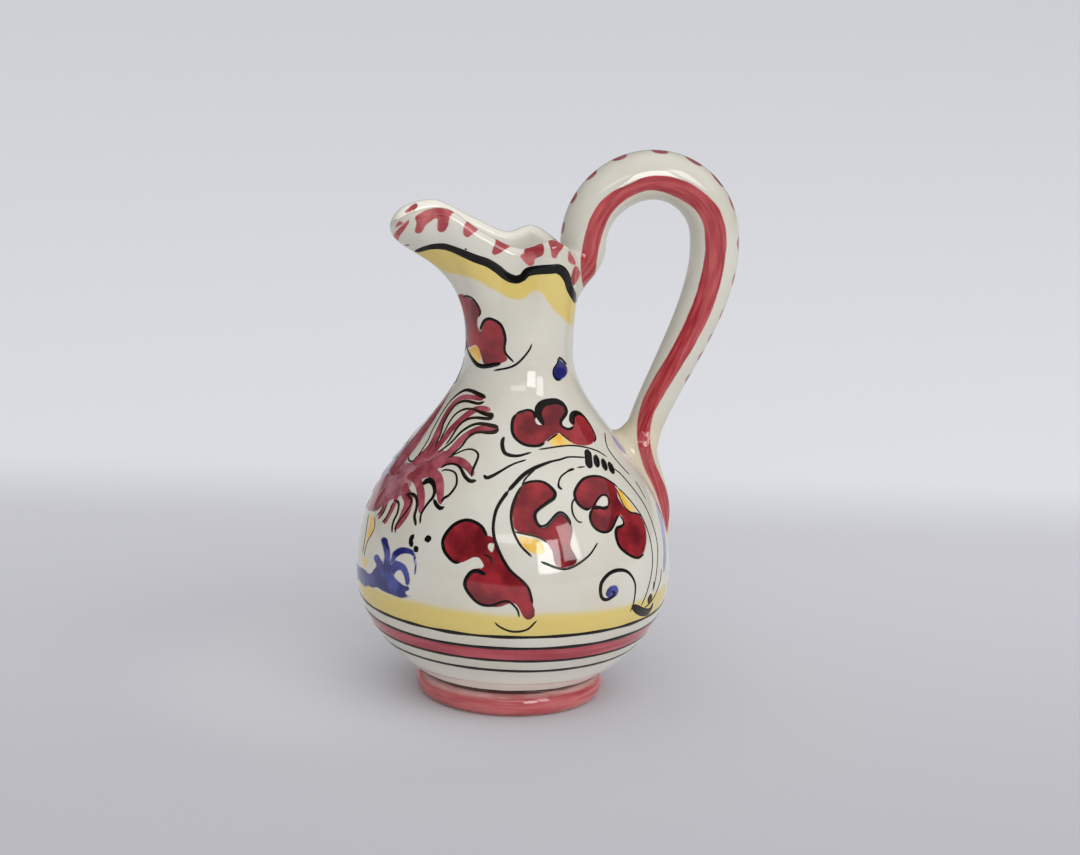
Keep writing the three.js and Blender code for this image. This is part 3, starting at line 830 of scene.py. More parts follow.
MIDDLE_HEART = [(516.5, 536), (538, 539), (542, 543), (544.5, 551), (541, 554), (532, 553), (525, 548.5)]
RIGHT_FLOWER = [
    (574.5, 495), (575.5, 488), (587, 476.5), (595, 475.3), (611, 481.3), (615.5, 487), (618, 498),
    (629, 511), (636, 513), (641, 516.5), (646, 537), (641.5, 555), (636, 557.3), (621.5, 549),
    (616.5, 541.5), (616.5, 527), (622, 524), (623, 520), (619, 514), (610.5, 530), (605, 531.8),
    (598.5, 530.3), (592.5, 525.5), (589.5, 518.5), (589.7, 512), (592, 508), (585, 508.3),
    (578.5, 504)]
RIGHT_HOLES = [[(595.4, 505), (602, 495.3), (606.3, 497), (606, 505.3), (601, 505.7)]]
RIGHT_HEART = [(616.5, 488.5), (618.5, 487.5), (625, 495.5), (634.6, 511), (630, 511.5), (619, 498)]
LOW_FLOWER = [
    (442, 542), (451.5, 525), (465.6, 519), (479.5, 523.7), (483.7, 528.5), (486.5, 534.7),
    (490, 535.5), (493.5, 538.5), (499, 552), (507, 566.5), (527, 587.5), (532, 603.5), (534.6, 611.5),
    (533, 617), (528, 619.3), (523.5, 617.5), (516.5, 605.5), (512, 602.5), (499, 606.3), (492, 606.5),
    (478, 601.5), (466, 588), (464, 581.5), (465.5, 575), (476, 567.5), (483, 567.5), (478, 557),
    (472, 557), (467, 559.8), (460, 562.2), (453.5, 561.2), (443.8, 551.5)]
# painted highlight: a bare white patch in the low flower where a window's reflection lies
LOW_FLOWER_HIGHLIGHT = [[(487, 545), (488.6, 542.6), (493, 543.8), (491, 552)]]
FLOWERS = NECK_FLOWER, UPPER_FLOWER, MIDDLE_FLOWER, RIGHT_FLOWER, LOW_FLOWER
print("flowers have", [len(flower) for flower in FLOWERS], "points")

# %% [markdown]
# The small blots: a blue drop, the curl's dot, the tuft of grass, and what the picture shows of
# the rooster's rump and leg. The last two are pale leaves beside the handle, on the back chart.

# %% Outlines of drop, grass, rump and leaves
BLUE_DROP = [
    (558.5, 357), (561, 360), (564.5, 362.5), (567.3, 371.5), (560, 379.3), (555.5, 378.5),
    (552.6, 374), (553, 368.5), (556.5, 363)]
CURL_DOT = [
    (604.5, 594.6), (605.2, 590), (610.4, 584.8), (616.3, 584.8), (618, 591.3), (615, 596),
    (609, 597.8)]
# tall blade, short blade, two arching blades, and the clump they grow from
GRASS = [
    [(379.7, 539), (381, 536.6), (383.8, 536), (386.6, 537.7), (387.8, 542.5), (389.3, 548), (389, 565),
     (382.7, 565), (383.2, 556.8), (382.5, 550)],
    [(372.5, 557.5), (373.9, 554), (376.6, 553.4), (383, 564), (382.7, 568), (376, 567),
     (375.2, 563.7)],
    [(392.3, 550.7), (402.5, 546), (413.4, 550.7), (415.7, 570.5), (414, 575), (413.2, 573.9),
     (413.4, 567.7), (411.6, 556), (408.7, 553.6), (399.8, 554.2), (391.6, 562.4), (389, 566)],
    [(391, 561.6), (395, 559.6), (404.6, 564), (409.5, 577.3), (408, 586), (405.3, 584), (402.5, 574),
     (399.8, 570), (397, 570), (394.3, 572.6), (393, 575.3), (389.6, 572)],
    [(352, 564), (360, 567.8), (364.3, 569.8), (369, 572.5), (372, 570.5), (374, 566.5), (390, 563),
     (391, 574.6), (393.6, 576), (402.5, 584), (408.3, 586), (408.7, 589.6), (405, 591), (405.6, 593.7),
     (414.6, 598.4), (404.6, 598.6), (382.7, 591), (376, 587.2), (371, 587.2), (362.3, 581.4),
     (352, 574)]]
RUMP = [
    (396, 468), (404, 462), (424, 464), (430, 470), (424, 474), (414, 477), (410, 486), (405, 492),
    (396, 498), (386, 502), (375, 511), (366, 508), (366, 494), (374, 484), (384, 474)]
TAIL_ROOT = [
    (398, 468), (410, 461), (420, 456.5), (440, 448.5), (449, 453), (450, 459), (432, 472), (424, 478),
    (412, 480)]
LEG = [
    (368, 512), (373, 517), (373, 531), (369.3, 536.6), (365.7, 544), (363.6, 553), (362.4, 553),
    (368.2, 523)]
KNEE = [(362.2, 556.8), (364.8, 555.3), (366.8, 559.5), (364.6, 569.5), (362.4, 565)]
SIDE_LEAF = [
    (-3.8, 50), (-1.2, 48), (-2.2, 45), (-4.6, 42.2), (-7.3, 39), (-9.3, 36), (-12, 34.2),
    (-12.4, 36.5), (-10.6, 39.5), (-9.4, 42.2), (-7.6, 45.7), (-6.5, 48)]
JOINT_LEAF = [
    (-3.4, 66.4), (-1.6, 65), (-1.4, 63.2), (-2.2, 61.6), (-4.6, 62.4), (-5.6, 63.8), (-4.9, 65.4)]
print("grass:", len(GRASS), "blots")

# %% [markdown]
# The rest of the rooster is drawn on the front chart, in millimetres: comb, wattle, beak, the
# yellow neck feathers, breast, back, wing, and the leg on the grass.

# %% Outlines of the rooster
COMB = [
    (7.1, 77.2), (6.6, 80.4), (8, 79.4), (8.8, 82.2), (9.8, 80), (11.2, 82.3), (11.8, 79.4),
    (13.4, 80.4), (13, 77.2), (10.2, 78.6)]
WATTLE = [(12.6, 72.4), (14.1, 71.6), (14.7, 68.8), (13.3, 67.2), (12.4, 69.4)]
BEAK = [(12.7, 75.1), (17.2, 73.5), (14.8, 73), (12.9, 72.8)]
HACKLE = [
    (6.6, 66.4), (7, 71), (7.5, 76), (10, 78.2), (12.6, 75.6), (12.3, 71), (14.6, 65.5), (17.2, 61.5),
    (14.6, 62.6), (13.4, 60), (11.4, 63), (9.6, 61)]
BREAST = [
    (18.4, 60.5), (19.4, 55), (18.6, 49.6), (15.5, 46), (11.4, 44.2), (11.6, 48), (14.4, 51.5),
    (15.2, 56.5), (16.4, 60)]
BACK = [
    (1.5, 62.4), (4.4, 63.6), (6.6, 65.6), (9, 61), (5.4, 60), (3, 57), (0.5, 52), (-3, 48.5),
    (-8, 46.5), (-9, 50), (-5.4, 53), (-2, 53.6), (1, 56.6), (2.2, 59.6)]
TAIL_EDGE = [
    (-4.8, 60.4), (-2, 62.4), (1, 62.6), (2.5, 60), (1.5, 56.5), (-1, 53.5), (-4.6, 54.2), (-4, 57.5)]
WING = [
    (4.4, 59.4), (8, 60.6), (12, 58.8), (13.6, 55), (12.4, 51.2), (9.2, 48.8), (4.6, 47.6), (0.4, 48.8),
    (4.2, 50.8), (0.8, 52.8), (4.6, 54.6), (2, 56.6)]
FRONT_LEG = [(3.6, 44.4), (6.6, 44.2), (5.8, 40), (5, 36), (4.2, 36), (4.3, 40)]
FRONT_GRASS = [
    (-17, 33.6), (-8, 33.2), (7.5, 33.4), (9.4, 34.6), (9.8, 38.4), (11.2, 40.4), (12.2, 39.2),
    (11.5, 36), (13, 37.6), (15.4, 38.4), (17.6, 37), (17.8, 34.4), (16.6, 35.8), (15, 36),
    (13.8, 34.8), (15.8, 34.6), (17, 33), (17, 31.6), (19.6, 30.2), (15.5, 29.4), (0, 29.2), (-8, 29.6),
    (-17, 30.2)]
print("rooster:", len(COMB), "points in the comb,", len(WING), "in the wing")

# %% [markdown]
# Each pigment gathers its blots from the charts. Flowers go on the near and the far side, the neck
# flower is folded about the spout, and the rooster stands once, on the front.

# %% Blots by pigment
crimson = np.maximum.reduce([
    chart_blots(front_chart, COMB, WATTLE),
    blots(folded, [NECK_FLOWER]),
    blots(paired, [UPPER_FLOWER, MIDDLE_FLOWER]),
    blots(paired, [RIGHT_FLOWER], RIGHT_HOLES),
    blots(paired, [LOW_FLOWER], LOW_FLOWER_HIGHLIGHT)])
amber = np.maximum.reduce([
    blots(folded, [NECK_HEART]), blots(direct, [LEG, KNEE]), chart_blots(front_chart, BEAK, HACKLE, FRONT_LEG),
    blots(paired, [UPPER_HEART, MIDDLE_HEART, RIGHT_HEART])])
cobalt = np.maximum.reduce([
    blots(paired, [BLUE_DROP, CURL_DOT]), blots(direct, GRASS), chart_blots(front_chart, WING, FRONT_GRASS)])
rust = np.maximum(blots(direct, [RUMP, TAIL_ROOT]), chart_blots(front_chart, BACK, BREAST))
lilac = np.maximum(chart_blots(front_chart, TAIL_EDGE), chart_blots(back_chart, SIDE_LEAF, JOINT_LEAF))
print("petals cover", int((crimson > 0).sum()), "points")

# %% [markdown]
# The lip carries a row of short red dabs, a dark wavy line under them, and a thin yellow wash that
# hangs from the line like a valance.

# %% Dabs and wash on the mouth
RIM_LINE = [
    (411, 252.5), (427, 247), (437, 245.6), (446, 246.5), (475, 258), (487, 262.2), (497, 268.5),
    (504, 274.3), (511, 278), (517, 278.6), (521.5, 276.5), (526.5, 271.5), (550, 268.4),
    (557.5, 268.3), (562.5, 271.5), (566.5, 278), (569, 287), (577.5, 303.5)]
WASH_EDGE = [
    (574, 326.5), (568, 324), (556, 313.5), (545, 299.5), (541, 294), (537, 292), (532.5, 292.5),
    (522.5, 299), (508, 298), (472, 279), (448, 274), (434, 266), (412, 254)]
LIP_DABS = [
    [(403, 212), (415, 202), (417.5, 204), (416.5, 207), (407.5, 212)],
    [(393, 229.5), (398, 220.4), (403, 222), (394.3, 228)],
    [(392.4, 234.5), (409, 218.2), (407.5, 224), (399.5, 235), (396.5, 241), (393.6, 239)],
    [(414, 216.4), (428, 208.3), (438.3, 206.9), (454, 210.5), (450.5, 214.5), (448.5, 219),
     (447.4, 225.2), (443.4, 231), (439, 231.8), (436.4, 229), (436, 218), (425, 225.2), (422, 231),
     (417, 233.3), (413.8, 231), (415.5, 222.3)],
    [(463, 225.2), (467, 219.8), (477.6, 228), (471.3, 234), (467, 237), (462.5, 234)],
    [(494.7, 234.7), (510, 240.6), (511, 244.3), (505, 248.7), (494, 254.8), (490.8, 252.3),
     (494.3, 242)],
    [(519, 254.5), (522.6, 252.3), (523.5, 248.5), (541.7, 243), (543, 253.8), (534.3, 259),
     (533.6, 264), (528.5, 265.5)],
    [(547.5, 240), (552.7, 238.4), (560, 240.6), (563.2, 245), (557.8, 253), (555, 258), (551.2, 256.7),
     (549.7, 249)],
    [(568, 249.4), (575.4, 264), (570.3, 263.3), (567, 260.4)],
    [(574.7, 264.8), (578.3, 267.7), (579.8, 273.6), (572.5, 285.3), (570.3, 281), (570.6, 273.6)]]
WASH_CORNER = (580, 312)
NO_PAINT = -5.0  # mm
DAB_ROWS, FADE_ROWS = 2, 6  # rings past the crest that dabs reach, and that the outside fades over
TIP_REACH = 15.0  # mm behind the spout's tip
straw = blots(paired, [RIM_LINE + [WASH_CORNER] + WASH_EDGE])
at_tip = skin_points[:, 0] < skin_points[:, 0].min() + TIP_REACH
dabs = np.where(ring_number < outer_rows + DAB_ROWS, blots(paired, LIP_DABS), NO_PAINT)
dabs = np.where(at_tip, np.maximum(dabs, blots(direct, LIP_DABS[:1])), dabs)
outside_share = np.clip((outer_rows + FADE_ROWS - ring_number) / (2 * FADE_ROWS), 0, 1)
body_paint = {"crimson": crimson, "amber": amber, "cobalt": cobalt, "rust": rust, "lilac": lilac,
              "straw": straw, "dabs": dabs, "outside": outside_share}
for key, values in body_paint.items():
    store(body.data, key, values)
print("lip dabs:", len(LIP_DABS))

# %% [markdown]
# The handle has a red stripe down each side and short dabs across its back. The stripe's two edges
# come from the picture; the dabs have places along the spine, and grow longer and wider on the way
# up to the arch.

# %% Stripe and dabs of the handle
STRIPE_OUTER = [
    (584.5, 290), (579.6, 262), (587.5, 222), (596.5, 205), (610.5, 191.4), (629.5, 182.5),
    (648.5, 175), (666, 175), (686.5, 181), (706.7, 194.6), (720, 211), (726, 237), (723, 268.7),
    (714.3, 301.6), (695.7, 341.5), (660, 400), (652, 418), (649.4, 439), (655, 463.5), (665.6, 488),
    (669, 503), (666, 532.7)]
STRIPE_INNER = [
    (663, 520.5), (655, 493), (642, 463.5), (636, 437.5), (638.8, 408), (651.8, 379), (671.3, 346.4),
    (692, 301.6), (701, 270), (704.2, 243), (701, 220.5), (690.3, 206), (654.8, 189.8), (634.5, 194),
    (618, 205), (606, 222), (596.5, 257), (594.5, 273)]
SPINE_GAP = 1.6  # mm left bare to each side of the spine
INNER_FACE, BACK_FACE = 5.2, -1.0  # mm from the strap's middle, towards the loop
# mm along the strap of each dab, then (mm along, mm long) and (mm along, mm to each side of the spine)
DAB_PLACES = [17.1, 22.7, 27.7, 33.5, 40.8, 47.4, 53.0, 58.0, 65.8, 73.6, 81.9, 87.8, 92.7, 99.0]
DAB_LENGTH = [(17, 2.4), (30, 2.8), (40, 3.4), (47, 4.2)]
DAB_REACH = [(15, 1.5), (30, 1.7), (45, 2.9), (55, 3.3), (66, 4.0), (100, 4.2)]
ROUNDNESS = 2.6  # 2 makes a dab an ellipse, more makes it squarer
SEAM_END = 25.0  # mm along the strap that the lip's last dabs run on over
GIRTH_RADIUS = 5.5
near_points = np.where(strap_points[:, 1:2] > 0, strap_points * [1, -1, 1], strap_points)
handle_places = to_picture(near_points)
stripe = blots(handle_places, [STRIPE_OUTER + STRIPE_INNER])
from_middle = strap_points - middle_at
inner_side = (from_middle * from_strap(into_loop)).sum(1)
stripe = np.where(inner_side > INNER_FACE, NO_PAINT, stripe)
stripe = np.where(inner_side < 0, np.minimum(stripe, np.abs(from_middle[:, 1]) - SPINE_GAP), stripe)
along_strap = strap_share * strap_length
half_dab = np.interp(along_strap, *np.array(DAB_LENGTH).T) / 2
dab_along = np.abs(along_strap[:, None] - DAB_PLACES).min(1) / half_dab
dab_across = np.abs(from_middle[:, 1]) / np.interp(along_strap, *np.array(DAB_REACH).T)
spine = (1 - (dab_along ** ROUNDNESS + dab_across ** ROUNDNESS) ** (1 / ROUNDNESS)) * half_dab
spine = np.where(inner_side < BACK_FACE, spine, NO_PAINT)
seam_dabs = np.where(along_strap < SEAM_END, blots(handle_places, LIP_DABS[-2:]), NO_PAINT)
girth = np.arctan2(from_middle[:, 1], inner_side) * GIRTH_RADIUS
handle_paint = {"stripe": stripe, "spine": spine, "dabs": seam_dabs, "way": along_strap, "girth": girth}
for key, values in handle_paint.items():
    store(handle.data, key, values)
print("handle stripe covers", int((stripe > 0).sum()), "points")

# %% [markdown]
# ## Dark brush lines
# The outlines, scrolls and hatching are single strokes of a thin pointed brush: they swell where
# it is pressed and end in a point. Each is a run of places in the picture with a width. The places
# are dropped onto the clay, along the camera's rays or from the front chart.

# %% Drop places onto the clay


def nearest_clay(spots):
    """The clay's places nearest to some spots, and its normals there."""
    found = [clay.find_nearest(Vector(spot)) for spot in spots]
    return np.array([f[0] for f in found]), np.array([f[1] for f in found])


def from_camera(run):
    """Places of the picture on the clay, and its normals; places off the jug are left out."""
    found = [clay.ray_cast(Vector(STANDPOINT), Vector(from_picture(place))) for place in run]
    found = [f for f in found if f[0] is not None]
    return np.array([f[0] for f in found]), np.array([f[1] for f in found])


def from_front(run):
    """Places of the front chart on the clay, and its normals."""
    around, height = np.asarray(run).T / PIXELS_PER_MM
    radius = belly_radius(height)
    turn = LEFT_EDGE - around / radius
    return nearest_clay(np.stack([radius * np.cos(turn), radius * np.sin(turn), height], 1))


print("the picture's centre falls on the clay at", from_camera([CENTRE])[0].round(1)[0], "mm")

# %% [markdown]
# A stroke becomes a row of places with a width at each. It tapers at both ends, and where it is
# twinned it is drawn again on the other side of the jug.

# %% From runs to strokes
STROKE_STEP = 0.45  # mm
THINNEST = 1.9  # pixels
TAPER, POINT = 0.9, 0.3  # mm that a stroke's end tapers over, and the share of its width at the point
SMOOTH_STEPS = 12  # places on a stroke from one point to the next


def strip(spots, normals, widths, load):
    """One stroke: middles, sideways and outward directions, half widths and how much colour it holds."""
    side = unit(np.cross(unit(np.gradient(spots, axis=0)), normals))
    way = way_along(spots)
    half = np.interp(way / max(way[-1], 1e-9), np.linspace(0, 1, len(widths)), widths) / 2
    ends = np.minimum(way, way[-1] - way)
    half = half * (POINT + (1 - POINT) * np.sqrt(np.clip(ends / TAPER, 0, 1)))
    return {"middle": spots, "side": side, "out": normals, "half": half, "load": np.full(len(spots), load)}


def strokes(runs, twin=False, drop=from_camera, scale=1.0):
    """Strokes from (widths in pixels, load, places), and if twinned the same on the other side of the jug."""
    made = []
    for widths, load, places in runs:
        run = smooth_run(np.array(places) * scale, False, SMOOTH_STEPS)
        length = way_along(run)[-1] / PIXELS_PER_MM
        spots, normals = drop(evenly(run, max(4, int(length / STROKE_STEP))))
        if len(spots) < 3:
            continue
        wide = np.maximum(np.atleast_1d(widths), THINNEST) / PIXELS_PER_MM
        made.append(strip(spots, normals, wide, load))
        if twin:
            made.append(strip(*nearest_clay(spots * [1, -1, 1]), wide, load))
    return made


print("strokes have a place each", STROKE_STEP, "mm")

# %% [markdown]
# The film is a flat lens of colour that is carried along each stroke: wide across the clay, and
# only a few hundredths of a millimetre high. All strokes of one colour become one piece.

# %% Films of colour
FILM_SIDES = 8
STROKE_UNITS = {"middle": MM, "side": 1, "out": 1, "half": MM, "load": 1}


def film_tree(material):
    """Carries a flat lens of colour along lines that lie on the clay."""
    tree, given = begin_tree("brush_film", Sides="Int", Film="Float")
    tube, sideways, outwards = swept_circle(tree, given)
    wide = math_node(tree, "MULTIPLY", read(tree, "half"), sideways)
    high = math_node(tree, "MULTIPLY", given["Film"], outwards)
    across = vector_node(tree, "SCALE", read(tree, "side", "FLOAT_VECTOR"), scale=wide)
    up = vector_node(tree, "SCALE", read(tree, "out", "FLOAT_VECTOR"), scale=high)
    offset = vector_node(tree, "ADD", across, up)
    return end_tree(tree, set_places(tree, tube, offset), material)


def films(name, strips, material, thickness):
    """All strokes of one colour as one object of thin films."""
    edges, start = [], 0
    for s in strips:
        count = len(s["middle"])
        edges += [(start + k, start + k + 1) for k in range(count - 1)]
        if s.get("closed"):
            edges.append((start + count - 1, start))
        start += count
    joined = {key: np.concatenate([s[key] for s in strips]) for key in STROKE_UNITS}
    source = line_object(name + "_lines", joined["middle"], edges,
                         {key: joined[key] * scale for key, scale in STROKE_UNITS.items()})
    piece = settle(name, source, film_tree(material), {"Sides": FILM_SIDES, "Film": thickness * MM})
    piece.data.transform(Matrix.Translation(AXIS * MM))
    return piece


print("a film has", FILM_SIDES, "sides")

# %% [markdown]
# First the lines of the mouth, the neck flower and the flowers of the belly, each as the brush
# went round the petals.

# %% Lines round the petals
PETAL_LINES = [
    ([5, 8, 8.5, 8.5, 9.5, 10, 8.5], 1.0, RIM_LINE),
    ([2.5, 2], 0.9, [(400, 246), (404, 244.8), (409, 244)]),
    ([3.2], 0.8, [(464, 248.2), (465, 248.5), (466.2, 248.9)]),
    ([2.5], 1.0, [(462, 296), (467, 295.5), (473, 299), (479.5, 311), (478, 316)]),
    ([3.2, 3, 2.3], 1.0, [
        (479, 329.5), (483.5, 320), (488, 318), (499.5, 323.5), (504.6, 338), (503.7, 346),
        (504.5, 352), (513, 361.5)]),
    ([3.4, 4, 5, 5, 4], 1.0, [(465.5, 340), (467, 350), (475.5, 363), (481.5, 365.5), (500, 362.8)]),
    ([2, 2.4, 1.6], 0.85, [(493, 370), (514, 364.5), (529, 348.5), (531, 343)]),
    ([2.5], 1.0, [
        (566, 363.5), (558.5, 357), (556.5, 363), (553, 368.5), (552.8, 374), (555.5, 378.5),
        (560, 379.5)]),
    ([3.2], 1.0, [(516, 413), (512, 419), (512.5, 434), (523, 443.5), (538, 445), (544, 442)]),
    ([3], 1.0, [(515, 413.5), (519, 411.5), (529, 409.5), (533, 412), (534.5, 418)]),
    ([4, 8.5, 7, 4.2, 3.4, 3], 1.0, [
        (543, 424.5), (537.5, 413), (538.5, 407), (543, 402.5), (556, 400.5), (562, 403.5),
        (565.5, 409), (565, 413), (560, 421), (561, 425), (565, 427.8), (570, 428), (573, 425.5)]),
    ([7.5, 6.5, 3, 2.2, 2.2], 1.0, [
        (572, 424), (571, 418), (572.5, 413.5), (577, 412), (584, 416.5), (595, 437), (593, 441.5)]),
    ([2], 0.9, [(546, 441), (551, 437), (557, 433)]),
    ([2], 0.9, [(559, 432), (564, 436), (570, 441)]),
    ([1.8, 3.5, 3, 2.5, 2.5, 2.5], 0.8, [
        (521, 485), (516, 494), (510.5, 512), (512.5, 530), (520, 545), (531, 556)]),
    ([2.5, 2.5, 1.6], 0.8, [(540, 561), (560, 568), (570, 567), (588, 555), (597, 542)]),
    ([2.5, 3, 4, 3, 4, 3], 1.0, [
        (521, 485), (527, 481.5), (543, 481.5), (554.5, 492.5), (552.5, 498), (546, 502.5),
        (534.5, 513), (537, 523.5), (541, 526), (546, 524.5), (559, 512), (564, 514), (568.5, 520),
        (570, 525)]),
    ([2], 0.6, [(514, 531), (540, 537.5), (546, 542)]),
    ([3.2, 3, 2], 1.0, [
        (590, 507.5), (585, 508.5), (578.5, 504.5), (574.5, 498), (574, 491), (583, 478), (598, 475.5),
        (613, 483), (617, 487)]),
    ([3.5], 1.0, [(592, 508), (598, 506.5), (603, 507.5), (608, 505.5)]),
    ([2.2], 1.0, [(608, 505), (608.5, 499), (606, 495), (602, 494), (598, 497), (591, 508)]),
    ([2.8], 1.0, [
        (592, 508), (589.5, 513), (589.5, 519), (592.5, 525.5), (598, 530), (604.5, 531.5), (610, 529),
        (616.5, 516.5), (618.5, 514)]),
    ([2, 4, 3, 2.5], 1.0, [
        (618.5, 514), (622, 519), (623, 523.5), (619.5, 526), (616.5, 527), (615, 532), (619, 546),
        (632, 556), (638, 557), (643, 553.5)]),
    ([1.5], 0.8, [(615.5, 488), (624, 506), (630, 511.5), (637, 513), (641, 516)]),
    ([3, 4, 3.5, 3], 1.0, [
        (459, 562), (453, 561), (444, 551), (442, 543), (443.5, 536), (454, 523.5), (467, 519.3),
        (480, 525), (486.5, 535.5)]),
    ([2.2], 1.0, [(483, 553), (490.5, 558), (491.5, 563)]),
    ([4.5, 4, 3, 2.5, 2], 1.0, [
        (485, 574), (475, 570), (469, 573), (464, 584), (477, 602), (490, 605), (502, 601), (508, 601),
        (516.5, 609), (518.5, 616.5)])]
print("petal lines:", len(PETAL_LINES))

# %% [markdown]
# Then the long scroll that carries the flowers, with its tendrils, commas, bars and curl.

# %% Lines of the scroll
SCROLL_LINES = [
    ([4, 4, 1.5], 0.9, [(503.5, 436), (501.5, 441), (503.9, 452), (515, 455.2), (530.8, 451.6)]),
    ([4.5, 2.5, 1.5], 0.85, [(483, 474.2), (485.7, 477), (512.6, 463.3), (525.6, 459)]),
    ([4, 1.8, 1.6, 1.8, 4], 0.9, [
        (573.5, 468.2), (569, 469.4), (559.4, 477.2), (558, 486), (561.5, 488.7)]),
    ([1.6, 2.2, 2], 0.85, [(574, 497), (571.3, 503), (572.5, 514), (578, 521.2), (581.5, 521.4)]),
    ([1], 0.5, [(576, 467), (580, 466.3), (584.5, 466)]),
    ([1.4, 2.6, 1.2], 0.85, [(494, 621.5), (498, 625.5), (511, 630.8), (526, 629), (536, 620)]),
    ([1.5], 0.9, [(538, 448.7), (572, 444.8), (595, 449.5), (606, 456)]),
    ([9], 1.0, [(586.8, 448.6), (587.8, 458), (588.6, 467.6)]),
    ([8], 1.0, [(595, 454), (595.8, 460), (596.4, 466.8)]),
    ([8], 0.9, [(602, 457.8), (603.6, 464), (605, 470)]),
    ([8.5], 0.85, [(608.4, 461), (610.4, 467), (612.4, 473.4)]),
    ([1.2, 1.6, 2.5, 4.2, 4.4, 4], 0.95, [
        (584.5, 456.6), (567, 456.4), (560, 458.6), (548, 461.6), (525.6, 472), (507.4, 490.2)]),
    ([4, 3.2, 3.2, 3, 2.4], 0.95, [
        (507.4, 490.2), (498, 504), (494.4, 512.7), (492.5, 530), (496.5, 546), (508.5, 568.4),
        (523.6, 582.2), (528, 588.2), (532, 603)]),
    ([2], 0.85, [(536, 466.8), (524.7, 478), (521.3, 484)]),
    ([1.6], 0.85, [
        (617, 487), (625, 494.6), (640.5, 515), (649.6, 539.7), (651.6, 564.5), (646.4, 590.6),
        (640.5, 605)]),
    ([1.3], 0.85, [
        (612.4, 467.6), (618.3, 471.7), (644.4, 505.7), (656.2, 541), (656.2, 567), (653, 588)]),
    ([1], 0.5, [(634, 480), (639, 487.4), (645, 498.5)]),
    ([1.2], 0.8, [(660.5, 568), (659.4, 580), (651, 600), (642.4, 608.3)]),
    ([2.5], 0.75, [(653.3, 580), (652.8, 585), (652.2, 590.6)]),
    ([9, 10, 8], 0.8, [(650.2, 593), (649.2, 598), (648.4, 603.4)]),
    ([5, 9, 9, 8, 5], 0.85, [(631, 605), (642, 611.4), (647.5, 611), (650.8, 606.5), (652, 602)]),
    ([2, 2.6, 3, 4, 4.4, 3.6, 2.6], 1.0, [
        (629.4, 611), (632.6, 603), (634, 581.5), (625.5, 570.4), (611.7, 571), (600.6, 582.8),
        (601.3, 597.2), (606, 599), (614.3, 593.3), (611, 590)]),
    ([1.3], 0.85, [(604, 432), (606.5, 446.3), (624.8, 470), (628.7, 473.7)])]
print("scroll lines:", len(SCROLL_LINES))

# %% [markdown]
# The rooster's tail is a fan of red plumes, each laid down in one pull of a wider brush. One more
# stands up on the front.

# %% Plumes
PLUMES = [
    ([5.4, 5.4, 8.1, 10.8, 13.5], 0.8, [
        (482.6, 398), (461.3, 396.7), (449, 407.3), (432, 442.8), (427, 450), (412.7, 463)]),
    ([5.4, 8.1, 8.1, 8.1], 0.75, [
        (489.7, 409.4), (481.6, 407.8), (473.5, 409.4), (451.2, 427.6), (445, 435.7), (433, 450),
        (424.8, 458)]),
    ([5.4, 8.1, 8.1, 12.2], 0.85, [
        (497.8, 427), (488.7, 428), (479.6, 428), (463.3, 436.7), (449, 451), (431, 463),
        (418.7, 467)]),
    ([5.4, 9.5, 9.5, 10.8], 0.8, [
        (472.5, 475), (469.4, 469), (463.3, 463), (455.2, 460), (447, 460.5), (418.7, 471)]),
    ([5.4, 10.8, 10.8, 10.8], 0.75, [
        (440, 503.6), (438.5, 483.3), (436, 476), (431, 472), (422.8, 472), (412.7, 471)]),
    ([5.4, 9.5, 9.5, 9.5], 0.8, [
        (419.3, 512.7), (420.8, 501.6), (417.7, 482.3), (412.7, 476), (406.6, 475)]),
    ([5.4, 12.2, 12.2, 10.8], 0.85, [
        (393.4, 528), (397.5, 524), (406.6, 506.6), (407.6, 498.5), (404.6, 491.4), (402.5, 483.3)]),
    ([6.8], 0.7, [(383.3, 523), (393.4, 503.6), (396.5, 493.5)]),
    ([6.8], 0.7, [(377.2, 518), (382.3, 509.7), (387.3, 498.5)]),
    ([10.8], 0.75, [(372, 508.7), (377.2, 498.5), (384.3, 488.4)])]
FRONT_PLUME = [([30, 30, 24, 16, 8], 0.6, [(-8.5, 56), (-6.4, 61), (-5.4, 65), (-1.6, 73), (0.8, 77)])]
print("plumes:", len(PLUMES), "in the picture and", len(FRONT_PLUME), "on the front chart")

# %% [markdown]
# The dark lines beside the plumes, the leg's outline, and three drops of ink behind the rooster.

